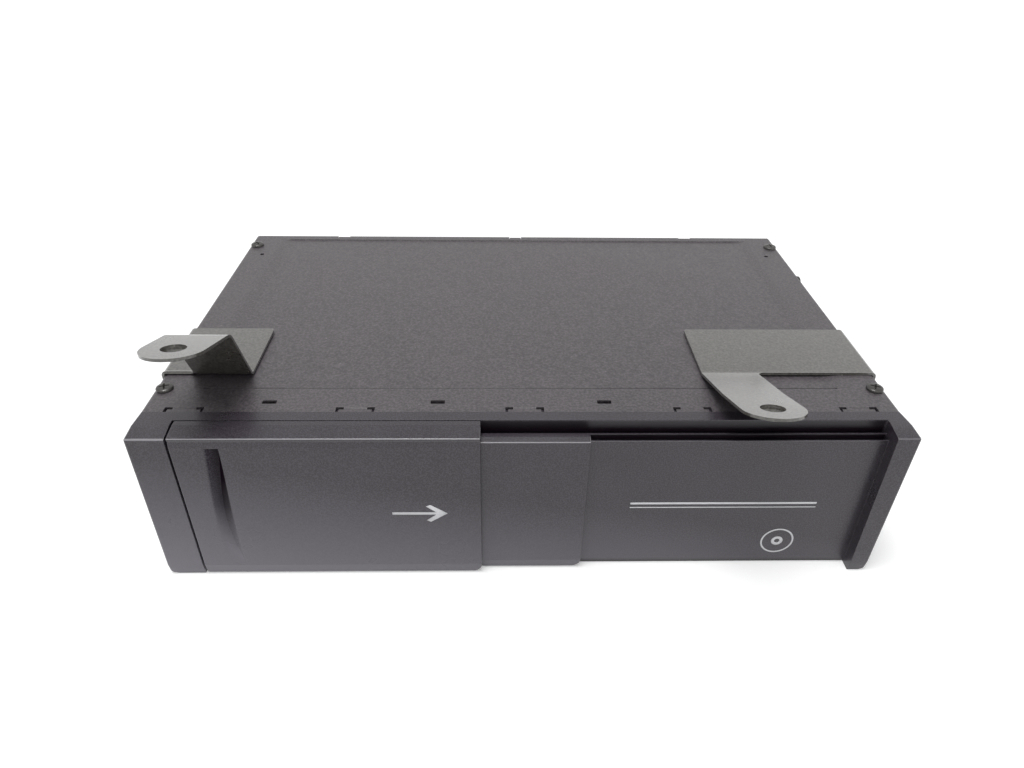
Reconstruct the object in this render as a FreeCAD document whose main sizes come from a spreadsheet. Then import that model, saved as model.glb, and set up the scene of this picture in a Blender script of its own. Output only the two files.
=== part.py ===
"""Car CD changer: a six-tray magazine changer in a folded steel case with two hanging brackets.

Lengths are millimetres. +X is to the right, -Y is the front and +Z is up. The origin is the
middle of the underside. Driving sizes are cells of the sheet "Sizes"; PLACES holds positions
worked out from them as expressions, and every feature is bound to those cells.
"""
import FreeCAD, Part
import Sketcher
import math
import os
import re

DOC = FreeCAD.newDocument("CdChanger")
V = FreeCAD.Vector

# ------------------------------------------------------------------ driving sizes
SIZES = {
    # case
    "body_width": 263.0, "body_height": 65.0, "body_depth": 165.0,
    "cover_sheet": 1.0, "chassis_sheet": 1.2, "nest_gap": 0.2, "run_gap": 0.3,
    "cover_hem": 1.8, "cover_bend": 1.2,
    "panel_step": 0.5, "panel_side": 16.5, "panel_front": 28.5, "panel_rear": 4.0, "panel_corner": 8.0,
    "snap_pitch": 58.5, "snap_width": 11.8, "snap_slit": 0.8, "snap_length": 2.9, "snap_foot": 1.6,
    "vent_length": 4.5, "vent_width": 1.6, "vent_setback": 6.2,
    "notch_pitch": 87.0, "notch_width": 6.0, "notch_depth": 2.0,
    "screw_edge": 3.7, "screw_front": 28.0, "screw_rear": 12.0,
    "screw_head": 3.0, "screw_head_height": 1.5, "screw_shank": 1.25, "screw_length": 5.0,
    "screw_play": 0.1, "peg_hole": 1.0, "peg_edge": 8.5, "peg_rear": 22.2,
    "lug_size": 8.0, "side_screw_y": 39.0, "side_screw_drop": 3.6,
    # front moulding
    "bezel_inset": 0.5, "bezel_depth": 14.0, "bezel_crown": 0.3, "crown_run": 6.5, "brow_drop": 0.8,
    "cap_left": 12.5, "cap_right": 6.7, "cap_corner": 3.0, "skirt_depth": 6.0, "skirt_wall": 1.8,
    "moulded_wall": 1.8,
    "bevel_height": 5.0, "bevel_setback": 0.8, "bevel_step": 0.6, "edge_round": 1.0,
    "opening_side": 1.5, "opening_lead": 2.0, "opening_low": 14.0, "opening_drop": 8.7,
    # telescoping doors
    "door_width": 103.0, "door_wall": 1.8, "door_low": 0.4, "lip_wall": 2.9, "door_reach": 8.9,
    "hook_wall": 1.0, "hook_reach": 6.7, "groove_play": 0.4, "ridge_wall": 0.8, "ridge_drop": 4.3,
    "mid_recess": 2.3, "mid_wall": 1.6, "mid_width": 100.0, "mid_overlap": 4.0, "mid_drop": 3.7,
    "mid_lip": 1.4, "fixed_recess": 4.6, "fixed_wall": 2.0, "fixed_drop": 5.5,
    "grip_left": 9.9, "grip_floor": 13.8, "grip_right": 16.1, "grip_low": 6.2, "grip_drop": 4.9,
    "grip_depth": 1.3,
    # hanging brackets
    "bracket_sheet": 1.0, "bracket_front": 37.3, "bracket_length": 32.2, "bracket_corner": 1.5,
    "bracket_r_reach": 66.0, "bracket_l_reach": 33.5, "bracket_blank": 90.4,
    "tongue_half": 10.4, "tongue_hole": 4.0, "ramp_length": 26.3, "tongue_length": 16.0,
    "ramp_r_angle": 18.0, "tab_r_angle": 18.0, "lean_r": 3.5,
    "ramp_l_angle": 63.3, "tab_l_angle": 13.0, "lean_l": 8.0,
    "bolt_margin": 8.4, "bolt_pitch": 18.0, "bolt_radius": 2.0, "bolt_head": 3.9, "bolt_head_height": 2.4,
    "bolt_length": 4.2, "spare_hole_rear": 24.0,
    # magazine and trays
    "works_room": 137.0, "mag_depth": 130.0, "mag_head": 0.9, "mag_wall": 2.0, "mag_floor": 1.8,
    "mag_setback": 12.5, "mag_clear": 1.7, "mag_lift": 2.4, "eject_stroke": 8.0,
    "tray_head": 3.1, "tray_thick": 2.6, "tray_gap": 0.5, "bed_margin": 4.5, "bed_depth": 0.7,
    "tray_slot": 17.0, "rail_width": 2.0, "rail_thick": 1.2, "spindle_lead": 25.0,
    # eject button and catch
    "button_width": 6.5, "button_height": 28.0, "button_low": 16.5, "button_depth": 5.0,
    "button_travel": 3.0, "stem_length": 23.0, "catch_reach": 9.5, "catch_offset": 12.0, "catch_thick": 2.2,
    # mechanism frame, lift and deck
    "frame_sheet": 1.0, "frame_lead": 10.55, "frame_gap": 1.1, "frame_low": 3.0, "frame_head": 2.0,
    "frame_front": 10.9, "frame_back": 15.3, "slider_sheet": 1.0, "slider_gap": 0.5, "slider_head": 8.0,
    "lift_lead": 3.0, "pin_radius": 1.5, "pin_lead": 34.0, "pin_pitch": 36.0, "pin_height": 10.0,
    "deck_low": 13.0, "deck_sheet": 1.2, "deck_gap": 2.0,
    "turntable_radius": 14.0, "hub_radius": 7.3, "turntable_low": 15.0, "hub_top": 18.5,
    "motor_radius": 11.5, "motor_low": 6.2, "spindle_radius": 1.0,
    "sled_start": 24.0, "sled_travel": 34.0, "sled_length": 18.0, "rod_radius": 1.5, "rod_spread": 22.0,
    "rod_height": 10.6, "screw_offset": 31.0, "lead_radius": 1.8,
    # gears
    "rack_module": 0.8, "rack_line": 24.0, "lift_teeth": 12.0, "train_lead": 14.0, "fine_module": 0.5,
    "wheel_teeth": 36.0, "pinion_teeth": 12.0, "top_module": 0.4, "top_wheel_teeth": 50.0,
    "top_pinion_teeth": 10.0, "mesh_play": 0.2, "train_angle": 150.0,
    "sled_wheel_teeth": 20.0, "sled_pinion_teeth": 10.0, "drive_angle": 160.0,
    "pinion_face": 3.4, "wheel_face": 1.4, "train_step": 2.4,
    # boards and socket
    "board_thick": 1.6, "board_low": 4.2, "socket_width": 30.0, "socket_lead": 38.55, "socket_height": 12.2,
    "socket_depth": 16.0, "socket_wall": 1.8, "pin_length": 4.0,
    "board_left": 9.0, "board_lead": 58.0, "board_front": 12.0, "board_back": 2.0, "board_edge": 4.0,
    "board_hole": 1.35, "chip_size": 14.0, "chip_tall": 1.6, "can_radius": 2.5, "can_tall": 5.8,
}

# ------------------------------------------------------------------ places worked out from them
PLACES = {
    "front": "-body_depth / 2", "back": "body_depth / 2", "cover_half": "body_width / 2",
    "bezel_half": "cover_half - bezel_inset", "bezel_back": "front + bezel_depth",
    "roof": "body_height - cover_sheet", "inner_half": "cover_half - cover_sheet - nest_gap",
    "ceiling": "roof - nest_gap", "wall_half": "inner_half - chassis_sheet",
    "skirt_back": "bezel_back + skirt_depth", "panel_half": "cover_half - panel_side",
    "screw_x": "cover_half - screw_edge", "screw_front_y": "front + screw_front",
    "screw_rear_y": "back - screw_rear",
    "cap_edge": "-bezel_half + cap_left", "cap_wall": "bezel_half - cap_right",
    "crown": "body_height + bezel_crown", "brow": "body_height - brow_drop",
    "opening_high": "crown - opening_drop", "opening_right": "frame_left - opening_lead",
    "door_lip_low": "crown - lip_wall", "hook_low": "crown - hook_reach", "groove_floor": "hook_low - groove_play",
    "ridge_top": "crown - ridge_drop", "mid_top": "crown - mid_drop", "fixed_top": "crown - fixed_drop",
    "grip_high": "crown - grip_drop",
    "door_left": "cap_edge + run_gap", "door_right": "door_left + door_width",
    "door_back": "front + door_reach", "door_travel": "cap_wall - run_gap - door_right",
    "door_inner": "front + door_wall",
    "mid_front": "front + mid_recess", "mid_right": "opening_right + mid_overlap",
    "mid_left": "mid_right - mid_width", "mid_travel": "cap_wall - run_gap - mid_right",
    "fixed_front": "front + fixed_recess", "opening_left": "cap_edge + opening_side",
    "groove_back": "door_back + run_gap", "ridge_back": "door_back - hook_wall - run_gap",
    "ridge_front": "ridge_back - ridge_wall", "mid_hook": "ridge_front - run_gap",
    "groove_front": "mid_hook - hook_wall - run_gap",
    "bracket_y": "front + bracket_front", "bracket_rear": "front + bracket_front + bracket_length",
    "plate_top": "body_height + bracket_sheet", "bracket_half": "cover_half + bracket_sheet",
    "bracket_r_inner": "bracket_half - bracket_r_reach", "bracket_l_inner": "bracket_half - bracket_l_reach",
    "bolt_z": "plate_top - (bracket_blank - bracket_r_reach) + bolt_margin",
    "bolt_mid": "bracket_y + bracket_length / 2",
    "spare_y": "back - spare_hole_rear",
    "mag_width": "body_width - works_room", "mag_height": "opening_high - mag_low - mag_head",
    "mag_left": "opening_left + mag_clear / 2 - 0.4", "mag_right": "mag_left + mag_width",
    "mag_front": "front + mag_setback", "mag_back": "mag_front + mag_depth",
    "mag_low": "opening_low + mag_lift + run_gap", "mag_top": "mag_low + mag_height",
    "mag_mid": "mag_front + mag_depth / 2", "tray_x": "mag_left + mag_wall + run_gap + tray_half_x",
    "tray_pitch": "(mag_height - mag_floor - tray_gap - tray_thick - mag_wall - tray_head) / 5",
    "tray_travel": "mag_width / 2 + spindle_lead", "disc_bed": "mag_depth / 2 - bed_margin",
    "tray_low": "mag_low + mag_floor + tray_gap", "spindle_x": "tray_x + tray_travel",
    "tray_half_x": "mag_width / 2 - 1.9", "tray_half_y": "mag_depth / 2 - mag_wall - run_gap",
    "button_left": "mag_right + 1.4", "button_front": "mag_front - 6.3",
    "tail_back": "button_front + button_depth + stem_length", "catch_low": "bay_floor - 5.2",
    "catch_x": "button_left + 3 - catch_offset", "catch_y": "tail_back + run_gap + 1.8",
    "frame_left": "mag_right + frame_lead", "frame_right": "wall_half - frame_gap",
    "frame_top": "slider_top + frame_head", "slider_top": "pin_height + lift_height + slider_head",
    "lift_height": "5 * tray_pitch + lift_lead", "pin_left": "frame_left + pin_lead",
    "deck_right": "frame_right - frame_sheet - deck_gap", "lift_x": "frame_left - train_lead",
    "wall_front": "front + frame_front", "wall_rear": "back - frame_back",
    "slide_front": "wall_front + frame_sheet + slider_gap",
    "slide_rear": "wall_rear - frame_sheet - slider_gap",
    "deck_front": "slide_front + slider_sheet + slider_gap",
    "deck_rear": "slide_rear - slider_sheet - slider_gap",
    "slider_low": "frame_low + frame_sheet + run_gap", "pin_z": "pin_height",
    "slider_left": "pin_left - lift_height - 2", "slider_right": "pin_left + pin_pitch + 4",
    "bay_floor": "opening_low + 0.5", "bay_top": "bay_floor + frame_sheet + 0.2",
    "drive_x": "frame_left + 8", "idler_x": "deck_right - 7",
    "feed_rod_length": "deck_right - frame_left - 3", "lens_x": "spindle_x + sled_start",
    "lift_y": "rack_line + rack_module * lift_teeth / 2 + mesh_play",
    "train_gap": "fine_module * (wheel_teeth + pinion_teeth) / 2 + mesh_play",
    "gear_a_x": "lift_x + train_gap * cos(train_angle)", "gear_a_y": "lift_y + train_gap * sin(train_angle)",
    "motor_gap": "top_module * (top_wheel_teeth + top_pinion_teeth) / 2 + mesh_play",
    "lift_motor_x": "gear_a_x + motor_gap * cos(train_angle)",
    "lift_motor_y": "gear_a_y + motor_gap * sin(train_angle)",
    "board_top": "board_low + board_thick", "socket_low": "board_top", "socket_x": "mag_left + socket_lead",
    "socket_front": "back - 0.3 - socket_depth",
    "screw_y": "mag_mid - screw_offset",
    "sled_gap": "top_module * (sled_wheel_teeth + sled_pinion_teeth) / 2 + mesh_play",
    "sled_motor_y": "screw_y + sled_gap * cos(drive_angle)",
    "sled_motor_z": "rod_height + sled_gap * sin(drive_angle)", "drive_face": "deck_right - 11",
}

SHEET = DOC.addObject("Spreadsheet::Sheet", "Sizes")
for _row, (_name, _size) in enumerate(SIZES.items(), start=1):
    SHEET.set(f"A{_row}", _name)
    SHEET.set(f"B{_row}", str(_size))
    SHEET.setAlias(f"B{_row}", _name)
DOC.recompute()

WORD = re.compile(r"[A-Za-z_][A-Za-z_0-9]*")
NODES = {}


def bound(text):
    """Return an expression on the sheet's cells for a formula of size and place names."""
    def swap(match):
        word = match.group(0)
        if word in SIZES:
            return "Sizes." + word
        if word in PLACES:
            return "(" + bound(PLACES[word]) + ")"
        return word
    return WORD.sub(swap, str(text))


def value(text):
    """Return the present number of a formula."""
    return float(SHEET.evalExpression(bound(text)))


# ------------------------------------------------------------------ sketch loops
def pin_point(sk, geo, end, x, y):
    """Bind a point of the sketch to two formulas."""
    for kind, formula in (("DistanceX", x), ("DistanceY", y)):
        index = sk.addConstraint(Sketcher.Constraint(kind, -1, 1, geo, end, value(formula)))
        sk.setExpression(f"Constraints[{index}]", bound(formula))


def bind_radius(sk, geo, formula):
    index = sk.addConstraint(Sketcher.Constraint("Radius", geo, value(formula)))
    sk.setExpression(f"Constraints[{index}]", bound(formula))


def poly(*points):
    """A closed outline of straight lines through bound points."""
    def draw(sk):
        start = sk.GeometryCount
        spots = [V(value(x), value(y), 0) for x, y in points]
        ends = spots[1:] + spots[:1]
        sk.addGeometry([Part.LineSegment(a, b) for a, b in zip(spots, ends)], False)
        count = len(points)
        for i in range(count):
            sk.addConstraint(Sketcher.Constraint("Coincident", start + i, 2, start + (i + 1) % count, 1))
        for i, (x, y) in enumerate(points):
            pin_point(sk, start + i, 1, x, y)
    return draw


def rect(x0, x1, y0, y1):
    return poly((x0, y0), (x1, y0), (x1, y1), (x0, y1))


def disc(x, y, radius):
    def draw(sk):
        geo = sk.addGeometry(Part.Circle(V(value(x), value(y), 0), V(0, 0, 1), value(radius)), False)
        pin_point(sk, geo, 3, x, y)
        bind_radius(sk, geo, radius)
    return draw


def slot(x0, y0, x1, y1, radius):
    """A round-ended slot between two centres."""
    def draw(sk):
        a, b, r = V(value(x0), value(y0), 0), V(value(x1), value(y1), 0), value(radius)
        turn = math.atan2(b.y - a.y, b.x - a.x)
        side = V(-math.sin(turn), math.cos(turn), 0) * r
        up = V(0, 0, 1)
        ends = [Part.ArcOfCircle(Part.Circle(a, up, r), turn + math.pi / 2, turn + 1.5 * math.pi),
                Part.ArcOfCircle(Part.Circle(b, up, r), turn - math.pi / 2, turn + math.pi / 2)]
        lines = [Part.LineSegment(a - side, b - side), Part.LineSegment(b + side, a + side)]
        first, last, low, high = sk.addGeometry([ends[0], ends[1], lines[0], lines[1]], False)
        for one, end, other, tip in ((first, 2, low, 1), (low, 2, last, 1), (last, 2, high, 1),
                                     (high, 2, first, 1)):
            sk.addConstraint(Sketcher.Constraint("Tangent", one, end, other, tip))
        pin_point(sk, first, 3, x0, y0)
        pin_point(sk, last, 3, x1, y1)
        bind_radius(sk, first, radius)
        bind_radius(sk, last, radius)
    return draw


def tongue(x_in, x_out, x_mid, y_mid, radius):
    """A strap from a fold line at y = 0 to a round end about (x_mid, y_mid)."""
    def draw(sk):
        corner, other = V(value(x_in), 0, 0), V(value(x_out), 0, 0)
        mid, r = V(value(x_mid), value(y_mid), 0), value(radius)
        away = 1 if corner.x > other.x else -1
        right, left = mid + V(r, 0, 0), mid - V(r, 0, 0)
        start, stop = (right, left) if away > 0 else (left, right)
        arc = Part.ArcOfCircle(Part.Circle(mid, V(0, 0, 1), r), math.pi, 2 * math.pi)
        fold, near, far, end = sk.addGeometry(
            [Part.LineSegment(other, corner), Part.LineSegment(corner, start),
             Part.LineSegment(stop, other), arc], False)
        begin, finish = (2, 1) if away > 0 else (1, 2)
        sk.addConstraint(Sketcher.Constraint("Coincident", fold, 2, near, 1))
        sk.addConstraint(Sketcher.Constraint("Coincident", far, 2, fold, 1))
        sk.addConstraint(Sketcher.Constraint("Tangent", near, 2, end, begin))
        sk.addConstraint(Sketcher.Constraint("Tangent", end, finish, far, 1))
        pin_point(sk, fold, 1, x_out, "0")
        pin_point(sk, fold, 2, x_in, "0")
        pin_point(sk, end, 3, x_mid, y_mid)
        bind_radius(sk, end, radius)
    return draw


def corner(side, half, radius):
    """What a round lower corner leaves of a square one, on the left (-1) or the right (1) of a width."""
    def draw(sk):
        x, r = side * value(half), value(radius)
        inner, outer = x - side * r, x + side
        start = -math.pi / 2 if side > 0 else math.pi
        arc = Part.ArcOfCircle(Part.Circle(V(inner, r, 0), V(0, 0, 1), r), start, start + math.pi / 2)
        spots = [V(x, r, 0), V(outer, r, 0), V(outer, -1, 0), V(inner, -1, 0), V(inner, 0, 0)]
        lines = [Part.LineSegment(a, b) for a, b in zip(spots, spots[1:])]
        bend, top, drop, low, rise = sk.addGeometry([arc] + lines, False)
        begin, finish = (1, 2) if side > 0 else (2, 1)
        for one, end, other, tip in ((bend, finish, top, 1), (top, 2, drop, 1), (drop, 2, low, 1),
                                     (low, 2, rise, 1), (rise, 2, bend, begin)):
            sk.addConstraint(Sketcher.Constraint("Coincident", one, end, other, tip))
        sk.addConstraint(Sketcher.Constraint("Horizontal", top))
        sk.addConstraint(Sketcher.Constraint("Vertical", rise))
        pin_point(sk, bend, 3, f"{side} * ({half} - {radius})", radius)
        pin_point(sk, top, 2, f"{side} * ({half} + 1)", radius)
        pin_point(sk, drop, 2, f"{side} * ({half} + 1)", "-1")
        pin_point(sk, low, 2, f"{side} * ({half} - {radius})", "-1")
        bind_radius(sk, bend, radius)
    return draw


# ------------------------------------------------------------------ a sub-part
NORMAL = {"XY": 1, "YZ": 1, "XZ": -1}


class Piece:
    """One solid: a PartDesign body whose sketches and lengths are bound to the sheet."""

    def __init__(self, label):
        self.body = DOC.addObject("PartDesign::Body", label)
        self.body.Label = label
        self.label = label

    def origin(self, role):
        return next(f for f in self.body.Origin.OriginFeatures if f.Role == role)

    def sketch(self, plane, level, loops, at=None, tilt=None):
        """Attach a sketch to an origin plane, moved to a level and maybe tilted about its x axis."""
        sk = self.body.newObject("Sketcher::SketchObject", self.label + "_sketch")
        sk.AttachmentSupport = (self.origin(plane + "_Plane"), [""])
        sk.MapMode = "FlatFace"
        if tilt is not None:
            sk.AttachmentOffset = FreeCAD.Placement(V(0, 0, 0), FreeCAD.Rotation(V(1, 0, 0), 10))
            sk.setExpression("AttachmentOffset.Rotation.Angle", bound(tilt))
        sk.setExpression("AttachmentOffset.Base.z", bound(level))
        for axis, formula in zip("xy", at or ()):
            sk.setExpression(f"AttachmentOffset.Base.{axis}", bound(formula))
        for loop in loops:
            loop(sk)
        return sk

    def feature(self, kind, sk, length=None, through=False, back=False):
        made = self.body.newObject("PartDesign::" + kind, self.label + "_" + kind.lower())
        made.Profile = sk
        if through:
            made.Type = 1
        elif length is not None:
            made.setExpression("Length", bound(length))
        made.Reversed = back
        sk.Visibility = False
        self.body.Tip = made
        return made

    def add(self, plane, low, high, *loops):
        """Extrude outlines from one level to another along the plane's world axis."""
        level = low if NORMAL[plane] > 0 else f"-({high})"
        return self.feature("Pad", self.sketch(plane, level, loops), f"({high}) - ({low})")

    def cut(self, plane, low, high, *loops):
        """Cut outlines away between two levels along the plane's world axis."""
        level = high if NORMAL[plane] > 0 else f"-({low})"
        return self.feature("Pocket", self.sketch(plane, level, loops), f"({high}) - ({low})")

    def turn(self, axis, at, *points, kind="Revolution"):
        """Revolve a profile of (radius, height) points about an axis through a point."""
        x, y, z = at
        if axis == "Z":
            sk = self.sketch("XZ", f"-({y})", [poly(*points)], at=(x, z))
            line = "V_Axis"
        elif axis == "Y":
            sk = self.sketch("XY", z, [poly(*points)], at=(x, y))
            line = "V_Axis"
        else:
            sk = self.sketch("XY", z, [poly(*[(h, r) for r, h in points])], at=(x, y))
            line = "H_Axis"
        made = self.feature(kind, sk)
        made.ReferenceAxis = (sk, [line])
        made.Angle = 360
        return made

    def row(self, features, axis, pitch, count):
        """Repeat features along an axis."""
        made = self.body.newObject("PartDesign::LinearPattern", self.label + "_row")
        made.Originals = list(features)
        made.Direction = (self.origin(axis + "_Axis"), [""])
        made.setExpression("Length", bound(f"({pitch}) * ({count} - 1)"))
        made.Occurrences = count
        self.body.Tip = made
        return made

    def mirror(self, features, plane="YZ_Plane"):
        """Mirror features to the other side of an origin plane."""
        made = self.body.newObject("PartDesign::Mirrored", self.label + "_mirror")
        made.Originals = list(features)
        made.MirrorPlane = (self.origin(plane), [""])
        self.body.Tip = made
        return made

    def ease(self, kind, size, wanted):
        """Fillet or chamfer the edges that a test on (edge, middle point) picks."""
        DOC.recompute()
        names = []
        for number, edge in enumerate(self.body.Tip.Shape.Edges, start=1):
            middle = edge.valueAt((edge.FirstParameter + edge.LastParameter) / 2)
            if wanted(edge, middle):
                names.append(f"Edge{number}")
        if not names:
            raise ValueError(f"{self.label}: no edge to {kind}")
        base = self.body.Tip
        made = self.body.newObject("PartDesign::" + kind, self.label + "_" + kind.lower())
        made.Base = (base, names)
        made.setExpression("Radius" if kind == "Fillet" else "Size", bound(size))
        self.body.Tip = made
        return made

    def place(self, x="0", y="0", z="0"):
        for axis, formula in zip("xyz", (x, y, z)):
            self.body.setExpression(f"Placement.Base.{axis}", bound(formula))
        return self

    def node(self):
        NODES[self.label] = self.body
        return self


def group(label, pieces):
    """Join several separate solids into one node."""
    made = DOC.addObject("Part::Compound", label)
    made.Label = label
    made.Links = [p.body if isinstance(p, Piece) else p for p in pieces]
    NODES[label] = made


def solid(label, shape):
    """A node whose shape is computed from sheet values."""
    made = DOC.addObject("Part::Feature", label)
    made.Label = label
    made.Shape = shape
    NODES[label] = made
    return made


def near(a, formula, slack=0.05):
    return abs(a - value(formula)) < slack


def along(edge, axis):
    """Tell whether a straight edge runs along a world axis."""
    if not isinstance(edge.Curve, Part.Line):
        return False
    return abs(abs(getattr(edge.Curve.Direction, axis)) - 1) < 1e-6


# ------------------------------------------------------------------ fasteners
def pan_screw(label, x, y, z, axis="Z", sense=1, head="screw_head", tall="screw_head_height",
              shank="screw_shank", length="screw_length"):
    """A pan-head cross screw whose head seats at a point, pointing out along an axis."""
    p = Piece(label)
    body_of = [("0", f"-({length})"), (shank, f"-({length})"), (shank, "0"), (head, "0"),
               (head, f"({tall}) * 0.45"), (f"({head}) * 0.72", f"({tall}) * 0.9"), (f"({head}) * 0.4", tall),
               ("0", tall)]
    flip = "" if sense > 0 else "-1 * "
    p.turn(axis, ("0", "0", "0"), *[(r, flip + f"({h})") for r, h in body_of])
    arm, half, deep = f"({head}) * 0.62", f"({head}) * 0.14", f"({tall}) * 0.6"
    cross = poly((f"-({arm})", f"-({half})"), (f"-({half})", f"-({half})"), (f"-({half})", f"-({arm})"),
                 (half, f"-({arm})"), (half, f"-({half})"), (arm, f"-({half})"), (arm, half),
                 (half, half), (half, arm), (f"-({half})", arm), (f"-({half})", half),
                 (f"-({arm})", half))
    plane = {"Z": "XY", "X": "YZ", "Y": "XZ"}[axis]
    low, high = (f"({tall}) - ({deep})", f"({tall}) + 1") if sense > 0 else (f"-({tall}) - 1",
                                                                          f"-({tall}) + ({deep})")
    p.cut(plane, low, high, cross)
    return p.place(x, y, z)


# ------------------------------------------------------------------ case
SIDE_BOLTS = [("bolt_mid - bolt_pitch / 2", "bolt_z"), ("bolt_mid + bolt_pitch / 2", "bolt_z")]
SPARE_BOLTS = [("spare_y - bolt_pitch / 2", "bolt_z"), ("spare_y + bolt_pitch / 2", "bolt_z")]


def make_cover():
    """The folded top cover with its stamped panel, snap slits, notches and holes."""
    p = Piece("top_cover")
    p.add("XY", "roof", "body_height", rect("-cover_half", "cover_half", "bezel_back", "back"))
    flange = p.add("XY", "cover_hem", "roof",
                   rect("cover_half - cover_sheet", "cover_half", "bezel_back", "back"))
    p.mirror([flange])
    p.ease("Fillet", "cover_bend", lambda e, m: along(e, "y") and near(m.z, "body_height")
           and near(abs(m.x), "cover_half"))
    sunk = rect("-panel_half", "panel_half", "front + panel_front", "back - panel_rear")
    p.add("XY", "roof - panel_step", "roof", sunk)
    p.cut("XY", "body_height - panel_step", "body_height", sunk)
    p.ease("Fillet", "panel_corner", lambda e, m: along(e, "z") and near(abs(m.x), "panel_half")
           and m.z > value("roof - panel_step") and e.Length < 1.0)
    half, cut_back = "snap_width / 2", "bezel_back + snap_length"
    first = "-2 * snap_pitch"
    slits = [poly((f"{first} + {s} * ({half})", "bezel_back - 1"),
                  (f"{first} + {s} * ({half} + snap_slit)", "bezel_back - 1"),
                  (f"{first} + {s} * ({half} + snap_slit)", f"{cut_back} - snap_slit"),
                  (f"{first} + {s} * ({half} + snap_foot)", f"{cut_back} - snap_slit"),
                  (f"{first} + {s} * ({half} + snap_foot)", cut_back),
                  (f"{first} + {s} * ({half})", cut_back)) for s in (-1, 1)]
    p.row([p.cut("XY", "roof - 1", "body_height + 1", *slits)], "X", "snap_pitch", 5)
    vent = p.cut("XY", "roof - 1", "body_height + 1",
                 rect("-1.5 * snap_pitch - vent_length / 2", "-1.5 * snap_pitch + vent_length / 2",
                      "bezel_back + vent_setback - vent_width / 2",
                      "bezel_back + vent_setback + vent_width / 2"))
    p.row([vent], "X", "snap_pitch", 4)
    notch = p.cut("XY", "roof - 1", "body_height + 1",
                  rect("-notch_pitch - notch_width / 2", "-notch_pitch + notch_width / 2",
                       "back - notch_depth", "back + 1"))
    p.row([notch], "X", "notch_pitch", 3)
    holes = [disc(f"{s} * screw_x", y, "screw_shank + screw_play") for s in (-1, 1)
             for y in ("screw_front_y", "screw_rear_y")]
    holes += [disc(f"{s} * (cover_half - peg_edge)", "back - peg_rear", "peg_hole") for s in (-1, 1)]
    p.cut("XY", "roof - 1", "body_height + 1", *holes)
    sides = [disc(y, z, "bolt_radius + 0.05") for y, z in SIDE_BOLTS + SPARE_BOLTS]
    sides.append(disc("side_screw_y", "body_height - side_screw_drop", "screw_shank + screw_play"))
    p.cut("YZ", "-cover_half - 1", "cover_half + 1", *sides)
    p.node()


def make_chassis():
    """The tray-shaped steel chassis: floor, side walls, rear wall and the cover's screw lugs."""
    p = Piece("base_chassis")
    p.add("XY", "0", "chassis_sheet", rect("-inner_half", "inner_half", "bezel_back + nest_gap", "back"))
    side = p.add("XY", "chassis_sheet", "ceiling",
                 rect("wall_half", "inner_half", "skirt_back + run_gap", "back"))
    lugs = p.add("XY", "ceiling - chassis_sheet", "ceiling",
                 rect("inner_half - lug_size", "inner_half", "screw_front_y - lug_size / 2",
                      "screw_front_y + lug_size / 2"),
                 rect("inner_half - lug_size", "inner_half", "screw_rear_y - lug_size / 2",
                      "screw_rear_y + lug_size / 2"))
    p.mirror([side, lugs])
    p.add("XZ", "back - chassis_sheet", "back", rect("-inner_half", "inner_half", "0", "ceiling"))
    tab = p.add("XZ", "back - chassis_sheet", "back",
                rect("-notch_pitch - notch_width / 2 + nest_gap", "-notch_pitch + notch_width / 2 - nest_gap",
                     "ceiling - 1", "body_height - 0.3"))
    p.row([tab], "X", "notch_pitch", 3)
    p.cut("XZ", "back - chassis_sheet - 1", "back + 1",
          rect("socket_x - socket_width / 2 - nest_gap", "socket_x + socket_width / 2 + nest_gap",
               "socket_low - nest_gap", "socket_low + socket_height + nest_gap"))
    p.cut("XY", "ceiling - chassis_sheet - 1", "body_height",
          *[disc(f"{s} * screw_x", y, "screw_shank + screw_play") for s in (-1, 1)
            for y in ("screw_front_y", "screw_rear_y")])
    sides = [disc(y, z, "bolt_radius + 0.05") for y, z in SIDE_BOLTS + SPARE_BOLTS]
    sides.append(disc("side_screw_y", "body_height - side_screw_drop", "screw_shank + screw_play"))
    p.cut("YZ", "-cover_half - 1", "cover_half + 1", *sides)
    p.node()


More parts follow.
